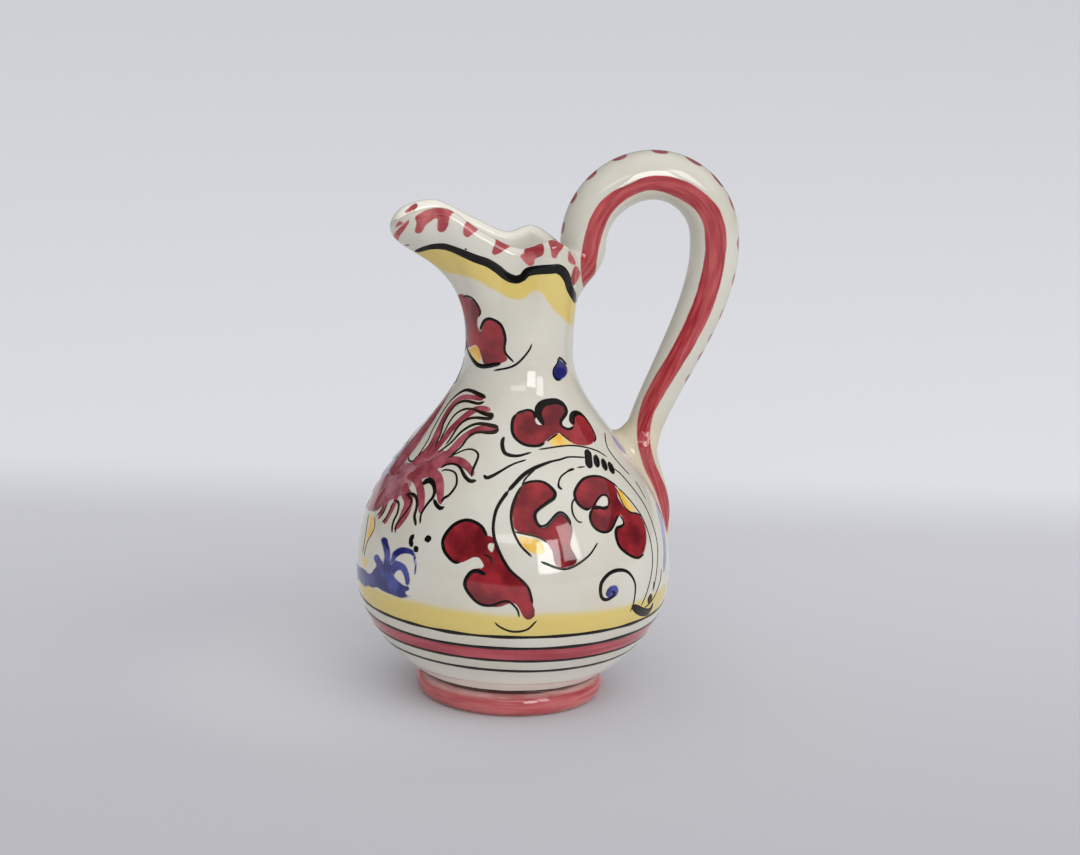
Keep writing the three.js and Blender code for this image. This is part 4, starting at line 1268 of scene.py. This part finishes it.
# %% Lines of the tail
PLUME_LINES = [
    ([5.5, 3.3, 2.7, 2.2, 2.2, 1.8, 1.6], 0.8, [
        (485, 397), (467.4, 389.3), (461.3, 390.6), (449, 401), (431, 430.6), (427, 439.8),
        (411.7, 460.5), (408.6, 460), (407.6, 456), (415.7, 441.8), (431, 422.5)]),
    ([3.3, 3.3, 2.2], 0.8, [
        (483.6, 400.7), (478.5, 402.8), (465.4, 400.2), (459.3, 401.3), (453.2, 405.8), (443, 422.5),
        (440, 432.7), (434, 447)]),
    ([5.5, 2.7, 2.7, 2.2], 0.8, [
        (493, 414), (485.6, 413.4), (471.4, 408.3), (464.4, 408.3), (457.3, 411.4), (451.2, 417.5),
        (439, 439.8)]),
    ([4.4, 3.1, 3.1, 2.2], 0.8, [
        (492.7, 414.4), (489.7, 417.5), (473.5, 417), (465.4, 419), (458.3, 424.6), (449, 438.7),
        (445, 443.8)]),
    ([5.5, 3.3, 2.7, 2.2], 0.8, [
        (497.5, 426.5), (476.5, 423), (462.3, 429.6), (450.2, 441.8), (437, 452)]),
    ([5.5, 3.3, 2.7, 1.6], 0.8, [
        (497.5, 427.5), (494.8, 430.6), (487.7, 431.7), (479.6, 431.2), (472.5, 432.7), (466.4, 437.7),
        (461.3, 444.8), (448, 457)]),
    ([1.6, 1.8, 2.7, 3.3], 0.85, [
        (447, 457), (463.3, 449.4), (469.4, 448.4), (474.5, 450), (477.5, 454), (471.4, 471),
        (471, 476)]),
    ([2.7, 2.7, 3.8, 4.4], 0.85, [
        (440, 467), (446, 463.6), (452.2, 463), (458.3, 465.6), (464.4, 476), (469.4, 480.3),
        (475.5, 479.8)]),
    ([2, 2.2, 2.7, 3.3], 0.85, [
        (440.5, 470.7), (444, 469), (454.2, 472), (455.7, 483.3), (448, 494.5), (443, 497.5),
        (440.5, 501.6)]),
    ([6.6, 6.6, 4.4, 3.3, 2.7, 2.7], 0.9, [
        (421.8, 483.8), (425.8, 480.3), (430, 479.8), (433, 483.3), (434, 490.4), (432, 496.5),
        (427, 502.6), (420.3, 513.7), (419.3, 523)]),
    ([4.4], 0.9, [(433, 498.5), (436, 504.6), (440, 507.7), (443.6, 506)]),
    ([3.8], 0.8, [
        (404.6, 494.5), (408.6, 493), (413.7, 494.5), (416.2, 499.6), (415.7, 507.7), (413.7, 514.8),
        (415.2, 525)]),
    ([3.3], 0.8, [(406.6, 494.5), (410.6, 498.5), (409.6, 504.6), (395.4, 525), (394.4, 532)]),
    ([3.3], 0.8, [
        (393.4, 499.6), (397.5, 501.6), (396.5, 512.7), (393.4, 518.8), (391.4, 526), (391.4, 532)]),
    ([3.3], 0.8, [(392.4, 501.6), (386.3, 515.8), (381.3, 521.8)]),
    ([2.7], 0.8, [(386.3, 502.6), (383.8, 509.7), (379.2, 516.8)]),
    ([2.2], 0.8, [(383, 503), (380.2, 509.7), (376.2, 514.8)]),
    ([1.6], 0.6, [(367.8, 514), (364.8, 533.6), (361.8, 552)]),
    ([1.6], 0.6, [(373.8, 516.4), (374, 524.6), (372.6, 530), (366.3, 541.8), (363.3, 555)]),
    ([6.5, 5.5, 7], 1.0, [(413.2, 534), (410.4, 538), (410, 541.5), (411.6, 546)]),
    ([8.5], 1.0, [(413.2, 550.2), (415.2, 548.3), (417.2, 546.4)]),
    ([8], 1.0, [(423.8, 539.2), (427.2, 538.1), (430.6, 537.2)])]
print("tail lines:", len(PLUME_LINES))

# %% [markdown]
# The rooster's own lines lie on the front chart, in millimetres: breast and back, head, comb and
# wattle, wing and neck feathers, and the foot with its three toes.

# %% Lines of the rooster
ROOSTER_LINES = [
    ([2, 3, 3, 2], 0.85, [(-2, 58.5), (-2.6, 62), (-2.2, 66), (-0.5, 70), (0.7, 73.5), (1.6, 77.4)]),
    ([2, 4, 8, 9], 0.8, [(-0.8, 84), (-1, 79), (-1.2, 77.4)]),
    ([2, 3, 3.5, 3.5, 3, 2.5], 0.95, [
        (12.4, 71.5), (13, 68), (15.2, 64), (18.2, 59.5), (19.6, 54), (18.6, 49), (15.5, 45.5),
        (11, 43.6), (6, 43.4), (1.5, 45), (-1, 47.5)]),
    ([2.5, 3.5, 2.5], 0.95, [(7.4, 76), (6.8, 71.5), (6.2, 67), (4.4, 64), (1.4, 62.7), (-2, 62)]),
    ([2.5, 3, 2.5], 0.95, [
        (7.4, 76), (8.3, 77.8), (10.2, 78.4), (12.1, 77.4), (13, 72.8), (12.4, 71.5)]),
    ([2.5], 0.95, [(12.7, 75), (14.8, 74.8), (17.1, 73.5), (12.9, 72.9)]),
    ([5], 1.0, [(10.5, 75.6), (10.8, 75.4), (11.1, 75.2)]),
    ([2, 3, 3, 2], 0.95, [
        (7.2, 77.4), (6.5, 80.5), (8, 79.3), (8.8, 82.4), (9.8, 80), (11.2, 82.5), (11.8, 79.4),
        (13.6, 80.5), (13, 77.3)]),
    ([2.5], 0.9, [(12.8, 72.4), (14.2, 71.6), (14.8, 68.8), (13.3, 67.1), (12.5, 68.6)]),
    ([2, 4, 3, 2], 0.95, [
        (4.5, 60.4), (8.5, 61.4), (12.8, 59.2), (14.2, 55), (12.8, 50.8), (9.2, 48.2), (4, 47)]),
    ([2, 3, 2], 0.9, [(12.6, 56.6), (8.4, 58.4), (3, 57.2)]),
    ([2, 3, 2], 0.9, [(12.4, 54), (7.6, 55.2), (1.4, 53.4)]),
    ([2, 3, 2], 0.9, [(11.4, 51.6), (6.8, 51.6), (0.8, 49.2)]),
    ([2.2], 0.85, [(8.4, 73), (8.2, 69), (8, 65)]),
    ([2.2], 0.85, [(10, 72.5), (10.4, 68), (11.2, 63.5)]),
    ([2.2], 0.85, [(11.6, 70.5), (12.6, 66.5), (14.4, 63)]),
    ([2.6], 0.9, [(18, 57.4), (17, 56.4), (16.4, 54.6)]),
    ([2.6], 0.9, [(18, 53), (16.8, 52.2), (15.8, 50.4)]),
    ([2.6], 0.9, [(16, 48.8), (14.6, 48.2), (13.4, 46.6)]),
    ([2.2], 0.85, [(3.6, 43.6), (4.2, 39.6), (3.9, 35.8)]),
    ([2.2], 0.85, [(6.7, 43.6), (5.9, 39.6), (5.2, 35.8)]),
    ([3, 2], 0.9, [(4.6, 36), (6.6, 34.8), (8.6, 34.4)]),
    ([3, 2], 0.9, [(4.6, 36), (4.6, 34.4), (4.2, 33.2)]),
    ([3, 2], 0.9, [(4.6, 36), (2.8, 35), (1, 34.8)])]
print("rooster:", len(ROOSTER_LINES), "lines")

# %% [markdown]
# The rings are drawn last, with the brush held still and the jug turning on a banding wheel. A
# slow wobble of the hand is left in their height and width.

# %% Rings, and all films of colour
# the lowest ring lies in the crease over the foot and is drawn wide: partly the painted ring, partly painted
# shade in the crease
RINGS = [(25.3, 0.85), (22.1, 0.92), (18.3, 0.88), (15.1, 1.1), (6.6, 2.7)]  # height, width
RING_STEPS, RING_LOAD = 560, 0.9
SWAY, PRESS, WAVES, ANY_TURN = 0.10, 0.045, 8, 6.3
INK_FILM, PLUME_FILM = 0.07, 0.045  # mm
hand = np.random.default_rng(7)


def ring_strip(height, width):
    """A closed stroke round the jug that wobbles in height and width."""
    turn = np.linspace(-math.pi, math.pi, RING_STEPS, endpoint=False)
    sway, press = np.zeros_like(turn), np.ones_like(turn)
    for wave in range(1, WAVES + 1):
        sway += hand.normal(0, SWAY / wave) * np.sin(wave * turn + hand.uniform(0, ANY_TURN))
        press += hand.normal(0, PRESS) * np.sin(3 * wave * turn + hand.uniform(0, ANY_TURN))
    z = height + sway
    r = belly_radius(z)
    spots, normals = nearest_clay(np.stack([r * np.cos(turn), r * np.sin(turn), z], 1))
    side = np.cross(unit(np.roll(spots, -1, 0) - np.roll(spots, 1, 0)), normals)
    return {"middle": spots, "side": side, "out": normals, "half": width / 2 * press,
            "load": np.full(RING_STEPS, RING_LOAD), "closed": True}


ink, plume_red = new_material("manganese_line"), new_material("plume_red")
dark_strips = strokes(PETAL_LINES + SCROLL_LINES, twin=True) + strokes(PLUME_LINES)
dark_strips += strokes(ROOSTER_LINES, drop=from_front, scale=PIXELS_PER_MM)
dark_strips += [ring_strip(height, width) for height, width in RINGS]
ink_lines = films("ink_lines", dark_strips, ink, INK_FILM)
plume_strips = strokes(PLUMES) + strokes(FRONT_PLUME, drop=from_front, scale=PIXELS_PER_MM)
plumes = films("tail_plumes", plume_strips, plume_red, PLUME_FILM)
print("ink:", len(dark_strips), "strokes,", len(ink_lines.data.polygons), "faces; plumes:",
      len(plumes.data.polygons), "faces")

# %% [markdown]
# ## Glaze and colours
# The white is an opaque tin glaze, slightly warm and uneven, with a glassy skin. The colours lie in
# it: manganese for the dark lines, an iron and copper red that goes from thin rose to deep crimson
# where the brush left more, antimony yellow and cobalt. All of them share the same gloss, because
# they melted into the glaze. Colours are written as they look on a screen.

# %% Shader helpers


def colour(red, green, blue):
    """A screen colour, 0 to 255, as the light it stands for."""
    screen = [c / 255 for c in (red, green, blue)]
    return (*[s / 12.92 if s < 0.04045 else ((s + 0.055) / 1.055) ** 2.4 for s in screen], 1.0)


def painted(tree, name):
    return add_node(tree, "ShaderNodeAttribute", attribute_name=name).outputs["Fac"]


def object_place(tree):
    return add_node(tree, "ShaderNodeTexCoord").outputs["Object"]


def height_of(tree):
    """Height above the table, in mm."""
    height = add_node(tree, "ShaderNodeSeparateXYZ", {0: object_place(tree)}).outputs["Z"]
    return math_node(tree, "MULTIPLY", height, 1 / MM)


def over(tree, amount, under, top):
    return add_node(tree, "ShaderNodeMix", {0: amount, 6: under, 7: top}, data_type="RGBA").outputs[2]


def soft(tree, value, low, high):
    """0 at low, 1 at high, and a soft change between them."""
    return add_node(tree, "ShaderNodeMapRange", {"Value": value, "From Min": low, "From Max": high},
                    interpolation_type="SMOOTHSTEP").outputs[0]


def times(tree, *values):
    result = values[0]
    for value in values[1:]:
        result = math_node(tree, "MULTIPLY", result, value)
    return result


print("a middle grey is", round(colour(128, 128, 128)[0], 3), "of full light")

# %% [markdown]
# A brush leaves a colour uneven, deep where it was wet and thin where it ran dry, and the edge of
# a blot frays a little. Noise on Object coordinates gives both, because it stays fixed to the clay.

# %% Helpers for uneven colour
FRAY_DETAIL = 3.0


def cloudy(tree, scale, detail=2.0, stretch=(1, 1, 1)):
    """Uneven patches from 0 to 1, fixed to the clay."""
    stretched = add_node(tree, "ShaderNodeMapping", {"Vector": object_place(tree), "Scale": stretch}).outputs[0]
    noise = add_node(tree, "ShaderNodeTexNoise", {"Vector": stretched, "Scale": scale, "Detail": detail})
    return noise.outputs["Fac"]


def swayed(tree, value, patches, amount):
    """A value that wanders by an amount, half of it to each side."""
    return math_node(tree, "MULTIPLY_ADD", patches, amount, math_node(tree, "ADD", value, -amount / 2))


def uneven(tree, deep, thin, scale, detail=4.0, spread=(0.34, 0.7)):
    """A pigment that shows how much of it the brush left."""
    return over(tree, soft(tree, cloudy(tree, scale, detail), *spread), deep, thin)


def frayed(tree, name, scale, amount):
    """A painted distance whose edge wanders by so many mm, as a wet brush edge does."""
    return swayed(tree, painted(tree, name), cloudy(tree, scale, FRAY_DETAIL), amount)


def coat(tree, look, name, pigment, edge, fray):
    """Lays a pigment over a look where the clay is painted; the edge frays and softens over so many mm."""
    return over(tree, soft(tree, frayed(tree, name, *fray), *edge), look, pigment)


# %% [markdown]
# The white itself is a little warmer in patches. The fired coat over everything is glassy and
# faintly wavy, so each material ends in the same gloss.

# %% White glaze and gloss
GLAZE_PALE, GLAZE_WARM = colour(203, 200, 190), colour(196, 190, 176)
# the first of these is painted light: a lighter white for the mouth's inside and the low belly; the second is
# the handle's pooled glaze
GLAZE_BOUNCE_LIGHT, GLAZE_POOLED = colour(232, 228, 217), colour(208, 186, 138)
WAVE_SCALE, WAVE_HEIGHT = 70.0, 0.001


def glaze_ground(tree):
    return uneven(tree, GLAZE_PALE, GLAZE_WARM, scale=45.0, detail=3.0, spread=(0.35, 0.75))


def glassy(material, base, roughness=0.055, waves=0.1, sheen=1.52):
    """Finishes a glaze: base colour, gloss, and the faint waviness of a brushed and fired coat."""
    tree = material.node_tree
    shader = tree.nodes["Principled BSDF"]
    tree.links.new(base, shader.inputs["Base Color"])
    shader.inputs["Roughness"].default_value = roughness
    shader.inputs["IOR"].default_value = sheen
    bump = add_node(tree, "ShaderNodeBump", {
        "Height": cloudy(tree, WAVE_SCALE), "Strength": waves, "Distance": WAVE_HEIGHT})
    tree.links.new(bump.outputs["Normal"], shader.inputs["Normal"])


print("glaze", [round(c, 2) for c in GLAZE_PALE[:3]])

# %% [markdown]
# The body takes its washes in the order of the painter's work. First comes the white. It is painted lighter
# inside the mouth and low on the belly, as painted light for the bounce that fills them. Then come the yellow
# at the mouth and the bands, which are drawn on a wheel and so are a matter of height alone.

# %% Ground and bands of the body
YELLOW, YELLOW_DEEP = colour(208, 190, 110), colour(206, 178, 85)
BAND_RED, BAND_ROSE = colour(150, 39, 53), colour(177, 72, 84)
BOUNCE_LIGHT_BELOW = 17.0, 8.0  # heights over which an edge softens, here and in each pair of a band
YELLOW_BAND = (25.0, 25.5), (32.2, 30.0)
RED_BAND = (17.9, 18.4), (22.4, 21.9)
ROSE_LINE = (9.4, 9.8), (10.5, 10.1)
ALONG_THE_BAND = (1, 1, 9)  # squeezes patches into streaks
WASH_COVER, BAND_COVER, LINE_COVER = 0.92, 0.93, 0.4
WASH_EDGE_SOFT = -0.25, 0.75  # mm
BAND_SPREAD, LINE_SPREAD = (0.3, 0.7), (0.35, 0.6)  # of the streaks

body.data.materials.append(body_glaze)
tree = body_glaze.node_tree
height, outside = height_of(tree), painted(tree, "outside")
streaks = cloudy(tree, scale=60.0, detail=3.0, stretch=ALONG_THE_BAND)
inside = math_node(tree, "SUBTRACT", 1.0, outside)
# painted light: the white turns lighter inside the mouth and low on the belly, for the bounce light that fills
# them
painted_bounce_light = math_node(tree, "MAXIMUM", inside, soft(tree, height, *BOUNCE_LIGHT_BELOW))
look = over(tree, painted_bounce_light, glaze_ground(tree), GLAZE_BOUNCE_LIGHT)
wash = times(tree, soft(tree, frayed(tree, "straw", scale=160.0, amount=1.2), *WASH_EDGE_SOFT), WASH_COVER)
look = over(tree, wash, look, over(tree, cloudy(tree, scale=110.0, detail=3.0), YELLOW, YELLOW_DEEP))
uneven_top = swayed(tree, height, cloudy(tree, scale=35.0), amount=2.4)
yellow_band = times(tree, soft(tree, height, *YELLOW_BAND[0]), soft(tree, uneven_top, *YELLOW_BAND[1]),
                    outside, BAND_COVER)
look = over(tree, yellow_band, look, over(tree, streaks, YELLOW, YELLOW_DEEP))
red_band = times(tree, soft(tree, height, *RED_BAND[0]), soft(tree, height, *RED_BAND[1]), outside)
look = over(tree, red_band, look, over(tree, soft(tree, streaks, *BAND_SPREAD), BAND_RED, BAND_ROSE))
rose_line = times(tree, soft(tree, height, *ROSE_LINE[0]), soft(tree, height, *ROSE_LINE[1]),
                  soft(tree, streaks, *LINE_SPREAD), outside, LINE_COVER)
look = over(tree, rose_line, look, BAND_ROSE)
print("bands at", YELLOW_BAND[0][0], RED_BAND[0][0], "and", ROSE_LINE[0][0], "mm")

# %% [markdown]
# Then come flower hearts, pale leaves, the rooster's back, petals, lip dabs and blue, each over the
# one before. Petals and dabs are the same red, with more or less of it on the brush.

# %% Painting of the body
AMBER_DEEP, AMBER_PALE = colour(222, 170, 54), colour(222, 192, 116)
LILAC_DEEP, LILAC_PALE = colour(118, 116, 164), colour(156, 154, 184)
RUST_DEEP, RUST_THIN = colour(138, 74, 86), colour(176, 116, 124)
CRIMSON_DEEP, CRIMSON_THIN = colour(95, 11, 22), colour(152, 37, 44)
ROSE_DEEP, ROSE_THIN = colour(148, 50, 56), colour(184, 98, 97)
COBALT_DEEP, COBALT_THIN = colour(28, 30, 98), colour(60, 66, 140)
FINE_FRAY, LOOSE_FRAY, LEAF_FRAY = (500.0, 0.3), (400.0, 0.6), (400.0, 0.4)  # scale, and mm
SOFT_EDGE, PETAL_EDGE, DAB_EDGE, BLUE_EDGE = (-0.1, 0.3), (-0.08, 0.16), (-0.08, 0.2), (-0.08, 0.25)  # mm
DROP_SPREAD = (0.4, 0.65)

amber_pigment = uneven(tree, AMBER_DEEP, AMBER_PALE, scale=300.0, detail=2.0, spread=DROP_SPREAD)
look = over(tree, soft(tree, painted(tree, "amber"), *SOFT_EDGE), look, amber_pigment)
lilac_pigment = over(tree, cloudy(tree, scale=240.0), LILAC_DEEP, LILAC_PALE)
look = coat(tree, look, "lilac", lilac_pigment, SOFT_EDGE, LEAF_FRAY)
look = coat(tree, look, "rust", uneven(tree, RUST_DEEP, RUST_THIN, scale=260.0), SOFT_EDGE, LOOSE_FRAY)
look = coat(tree, look, "crimson", uneven(tree, CRIMSON_DEEP, CRIMSON_THIN, scale=140.0), PETAL_EDGE, FINE_FRAY)
look = coat(tree, look, "dabs", uneven(tree, ROSE_DEEP, ROSE_THIN, scale=260.0), DAB_EDGE, FINE_FRAY)
cobalt_pigment = uneven(tree, COBALT_DEEP, COBALT_THIN, scale=220.0, detail=3.0, spread=DROP_SPREAD)
look = coat(tree, look, "cobalt", cobalt_pigment, BLUE_EDGE, FINE_FRAY)
glassy(body_glaze, look)
print("body glaze has", len(tree.nodes), "nodes")

# %% [markdown]
# On the handle, glaze pools yellowish above the lower joint. The stripe's streaks follow the pull
# of the brush, so its patches are stretched along the strap.

# %% Glaze of the handle
SPINE_DEEP, SPINE_THIN = colour(142, 70, 78), colour(176, 104, 108)
STRIPE_DEEP, STRIPE_THIN = colour(146, 36, 45), colour(180, 74, 76)
POOL_START, POOL_END, POOL_AMOUNT = 14.0, 3.0, 0.4  # mm before the belly
STREAK_STRETCH, STREAK_SCALE, STREAK_SPREAD = 0.1, 1.1, (0.34, 0.7)
SPINE_EDGE, SPINE_FRAY = (-0.05, 0.35), (400.0, 0.5)
STRIPE_EDGE, STRIPE_FRAY = (-0.1, 0.22), (300.0, 0.35)

tree = handle_glaze.node_tree
way, meets_belly = painted(tree, "way"), belly_share * strap_length
pooled = times(tree, soft(tree, way, meets_belly - POOL_START, meets_belly - POOL_END), POOL_AMOUNT)
look = over(tree, pooled, glaze_ground(tree), GLAZE_POOLED)
pull = add_node(tree, "ShaderNodeCombineXYZ", {
    "X": times(tree, way, STREAK_STRETCH), "Y": painted(tree, "girth")}).outputs[0]
pulled = add_node(tree, "ShaderNodeTexNoise", {"Vector": pull, "Scale": STREAK_SCALE, "Detail": 4.0})
look = coat(tree, look, "spine", uneven(tree, SPINE_DEEP, SPINE_THIN, scale=300.0), SPINE_EDGE, SPINE_FRAY)
stripe_pigment = over(tree, soft(tree, pulled.outputs["Fac"], *STREAK_SPREAD), STRIPE_DEEP, STRIPE_THIN)
look = coat(tree, look, "stripe", stripe_pigment, STRIPE_EDGE, STRIPE_FRAY)
look = coat(tree, look, "dabs", uneven(tree, ROSE_DEEP, ROSE_THIN, scale=260.0), DAB_EDGE, FINE_FRAY)
glassy(handle_glaze, look)
print("handle glaze has", len(tree.nodes), "nodes")

# %% [markdown]
# Foot, dark lines and plumes are simpler mixes. The foot's wash is deep below and pale towards the crease. The
# pale top is partly a thinner wash and partly painted light, for the sheen on the foot's rounded top and to
# lift the shade under the belly. Its standing face is wiped clean, so that the jug doesn't stick to the kiln
# shelf.

# %% Foot and strokes
# the pale top of the foot is partly painted light: lighter for the sheen on its rounded top and to lift the
# shade under the belly
FOOT_PALE, FOOT_PALEST = colour(212, 142, 137), colour(224, 176, 169)
FOOT_RED, FOOT_ROSE = colour(170, 68, 73), colour(194, 102, 103)
BARE_CLAY, BARE_SHADE = colour(206, 176, 142), colour(188, 152, 116)
DEEP_BELOW, WIPED_BELOW = (5.6, 4.5), (0.25, 0.1)  # heights over which an edge softens
ROUND_THE_FOOT, FOOT_SPREAD = (1, 1, 8), (0.35, 0.65)
INK_SPREAD = 0.3, 0.95
INK_THIN, INK_FULL = colour(86, 64, 48), colour(13, 10, 9)
PLUME_DEEP, PLUME_THIN = colour(128, 46, 58), colour(168, 84, 94)

tree = foot_wash.node_tree
height, streaks = height_of(tree), cloudy(tree, scale=70.0, detail=4.0, stretch=ROUND_THE_FOOT)
brushed = soft(tree, streaks, *FOOT_SPREAD)
deep_part = soft(tree, swayed(tree, height, streaks, amount=2.0), *DEEP_BELOW)
look = over(tree, brushed, FOOT_PALE, FOOT_PALEST)
look = over(tree, deep_part, look, over(tree, brushed, FOOT_RED, FOOT_ROSE))
wiped = soft(tree, height, *WIPED_BELOW)
look = over(tree, wiped, look, over(tree, cloudy(tree, scale=400.0), BARE_CLAY, BARE_SHADE))
glassy(foot_wash, look, roughness=0.07, waves=0.06)

tree = ink.node_tree
grain = cloudy(tree, scale=420.0, detail=3.0)
full = soft(tree, swayed(tree, painted(tree, "load"), grain, amount=0.5), *INK_SPREAD)
glassy(ink, over(tree, full, INK_THIN, INK_FULL), roughness=0.12, waves=0.05, sheen=1.32)
plume_look = uneven(plume_red.node_tree, PLUME_DEEP, PLUME_THIN, scale=240.0)
glassy(plume_red, plume_look, roughness=0.12, waves=0.05)
print("materials:", [m.name for m in bpy.data.materials if m.users])

# %% [markdown]
# ## Table and light
# The jug stands on a pale cloth whose colour is painted light. It is darker at the front and lighter towards
# the back, for the light on a cloth that rises into a backdrop. A soft patch beside the foot is painted
# lighter, which thins the jug's shadow there. The camera sees it a little darker than the jug does: the jug
# gets back the light of a wide white cloth, and the picture keeps its grey.

# %% Table
CLOTH_FRONT, CLOTH_NEAR, CLOTH_FAR = colour(186, 186, 191), colour(206, 206, 211), colour(228, 229, 233)
CLOTH_LIT, CLOTH_SHADOW_FILL = colour(222, 222, 224), colour(219, 219, 223)  # as the jug sees it, and painted light where the jug's shadow beside the foot is thinned
CLOTH_ROUGHNESS, CLOTH_GLOSS = 0.9, 0.1
TABLE_SIZE, TABLE_GAP = 12.0, 0.05 * MM  # m
CLOTH_LIGHTER_FROM, CLOTH_LIGHTEST_FROM = (-164.0, 164.0), (139.0, 224.0)  # mm behind the jug, where the cloth is painted lighter, as painted light for a backdrop that catches more light
FAR_OFF_CLOTH = 0.4, 1.2  # m from the jug
SHADOW_FILL_PLACE, SHADOW_FILL_REACH = (-36.0, 16.0, 0.0), 80.0  # mm

bpy.ops.mesh.primitive_plane_add(size=TABLE_SIZE, location=(0, 0, -TABLE_GAP))
table = bpy.context.object
table.name = "table"
cloth = new_material("cloth")
table.data.materials.append(cloth)
tree = cloth.node_tree


def measured(operation, *vectors):
    """A length or a dot product in the cloth's tree."""
    links = dict(enumerate(vectors))
    return add_node(tree, "ShaderNodeVectorMath", links, operation=operation).outputs["Value"]


place = object_place(tree)
behind_jug = measured("DOT_PRODUCT", place, FORWARD * [1, 1, 0] / np.hypot(*FORWARD[:2]))
from_shadow_fill = measured("LENGTH", vector_node(tree, "SUBTRACT", place, np.array(SHADOW_FILL_PLACE) * MM))
# painted light: the cloth steps lighter towards the back, as a rising backdrop would be lit
painted_light_near, rise = (soft(tree, behind_jug, low * MM, high * MM) for low, high in (CLOTH_LIGHTER_FROM, CLOTH_LIGHTEST_FROM))
cloth_and_painted_light = over(tree, rise, over(tree, painted_light_near, CLOTH_FRONT, CLOTH_NEAR), CLOTH_FAR)
cloth_and_painted_light = over(tree, soft(tree, measured("LENGTH", place), *FAR_OFF_CLOTH), cloth_and_painted_light, CLOTH_FAR)
# painted light: a soft lighter patch beside the foot that thins the jug's shadow there
cloth_and_painted_light = over(tree, soft(tree, from_shadow_fill, SHADOW_FILL_REACH * MM, 0.0), cloth_and_painted_light, CLOTH_SHADOW_FILL)
watched = add_node(tree, "ShaderNodeLightPath").outputs["Is Camera Ray"]
cloth_shader = tree.nodes["Principled BSDF"]
tree.links.new(over(tree, watched, CLOTH_LIT, cloth_and_painted_light), cloth_shader.inputs["Base Color"])
cloth_shader.inputs["Roughness"].default_value = CLOTH_ROUGHNESS
cloth_shader.inputs["Specular IOR Level"].default_value = CLOTH_GLOSS
print("table:", TABLE_SIZE, "m wide")

# %% [markdown]
# The light is soft daylight, as from a window in front and to the right. The window's panes give the
# small bright reflections that tell the eye that a glaze is glassy, so three lamps are only
# mirrored, and the others only light.

# %% Lamps
LAMP_DISTANCE, AIM_HEIGHT = 1500.0, 60.0  # mm
LAMPS = [  # name, bearing, elevation, spread across and up in degrees, radiance, whether it is only mirrored
    ("pane_tall", -76, 17, (16, 21), 8.0, True),
    ("pane_right", -58, 24, (13, 22), 5.5, True),
    ("pane_left", -102, 30, (26, 6), 3.0, True),
    ("window", -75, 32, (85, 50), 1.15, False),
]
DAY_STRENGTH, DAY_SPREAD, DAY_TILT = 0.95, 100, (20, 14, 0)  # degrees


def lamp(name, bearing, elevation, spread, radiance, mirrored):
    """A pane that looks at the jug."""
    size = [2 * LAMP_DISTANCE * math.tan(math.radians(s / 2)) * MM for s in spread]
    light = bpy.data.lights.new(name, "AREA")
    light.shape, light.size, light.size_y = "RECTANGLE", *size
    light.energy = radiance * math.pi * size[0] * size[1]
    holder = add_object(name, light)
    turn, lift = math.radians(bearing), math.radians(elevation)
    way = Vector((math.cos(turn) * math.cos(lift), math.sin(turn) * math.cos(lift), math.sin(lift)))
    holder.location = Vector((AXIS + [0, 0, AIM_HEIGHT]) * MM) + way * LAMP_DISTANCE * MM
    holder.rotation_euler = (-way).to_track_quat("-Z", "Y").to_euler()
    holder.visible_glossy, holder.visible_diffuse = mirrored, not mirrored


for row in LAMPS:
    lamp(*row)
daylight = bpy.data.lights.new("daylight", "SUN")
daylight.energy, daylight.angle = DAY_STRENGTH, math.radians(DAY_SPREAD)
add_object("daylight", daylight).rotation_euler = [math.radians(tilt) for tilt in DAY_TILT]
print(len(bpy.data.lights), "lamps")

# %% [markdown]
# The room that the glaze mirrors is dimmer than the light that falls on it, as on a photographer's
# table, and that keeps the reds deep.

# %% Sky
SKY_COLOUR = (0.97, 0.98, 1, 1)
SKY_LIGHT, SKY_MIRRORED, SKY_SHOWN = 0.52, 0.12, 0.65

sky = bpy.data.worlds.new("sky")
sky.use_nodes = True
tree = sky.node_tree
air = tree.nodes["Background"]
ray = add_node(tree, "ShaderNodeLightPath").outputs
dimmed = add_node(tree, "ShaderNodeMapRange", {
    "Value": ray["Is Glossy Ray"], "To Min": SKY_LIGHT, "To Max": SKY_MIRRORED})
shown = add_node(tree, "ShaderNodeMapRange", {
    "Value": ray["Is Camera Ray"], "To Min": dimmed.outputs[0], "To Max": SKY_SHOWN})
tree.links.new(shown.outputs[0], air.inputs["Strength"])
air.inputs["Color"].default_value = SKY_COLOUR
bpy.context.scene.world = sky
bpy.context.scene.view_settings.view_transform = "Standard"
print("sky:", SKY_LIGHT, "as light,", SKY_MIRRORED, "as mirrored")

# %% [markdown]
# ## The pieces stand with the jug
# Every piece stands still with the jug, so each is attached to its one body. Each says which clay parts it
# stands for, and those parts are hidden, and which finish it takes.

# %% Names and finishes
PIECES = [
    (body, ["body"], "glaze"),
    (foot, ["foot_ring"], "foot_glaze"),
    (handle, ["handle", "upper_luting", "lower_luting"], "glaze"),
    (ink_lines, [], "glaze"),
    (plumes, [], "glaze"),
]
for piece, parts, finish in PIECES:
    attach(piece, "root")
    if parts:
        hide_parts(*parts)
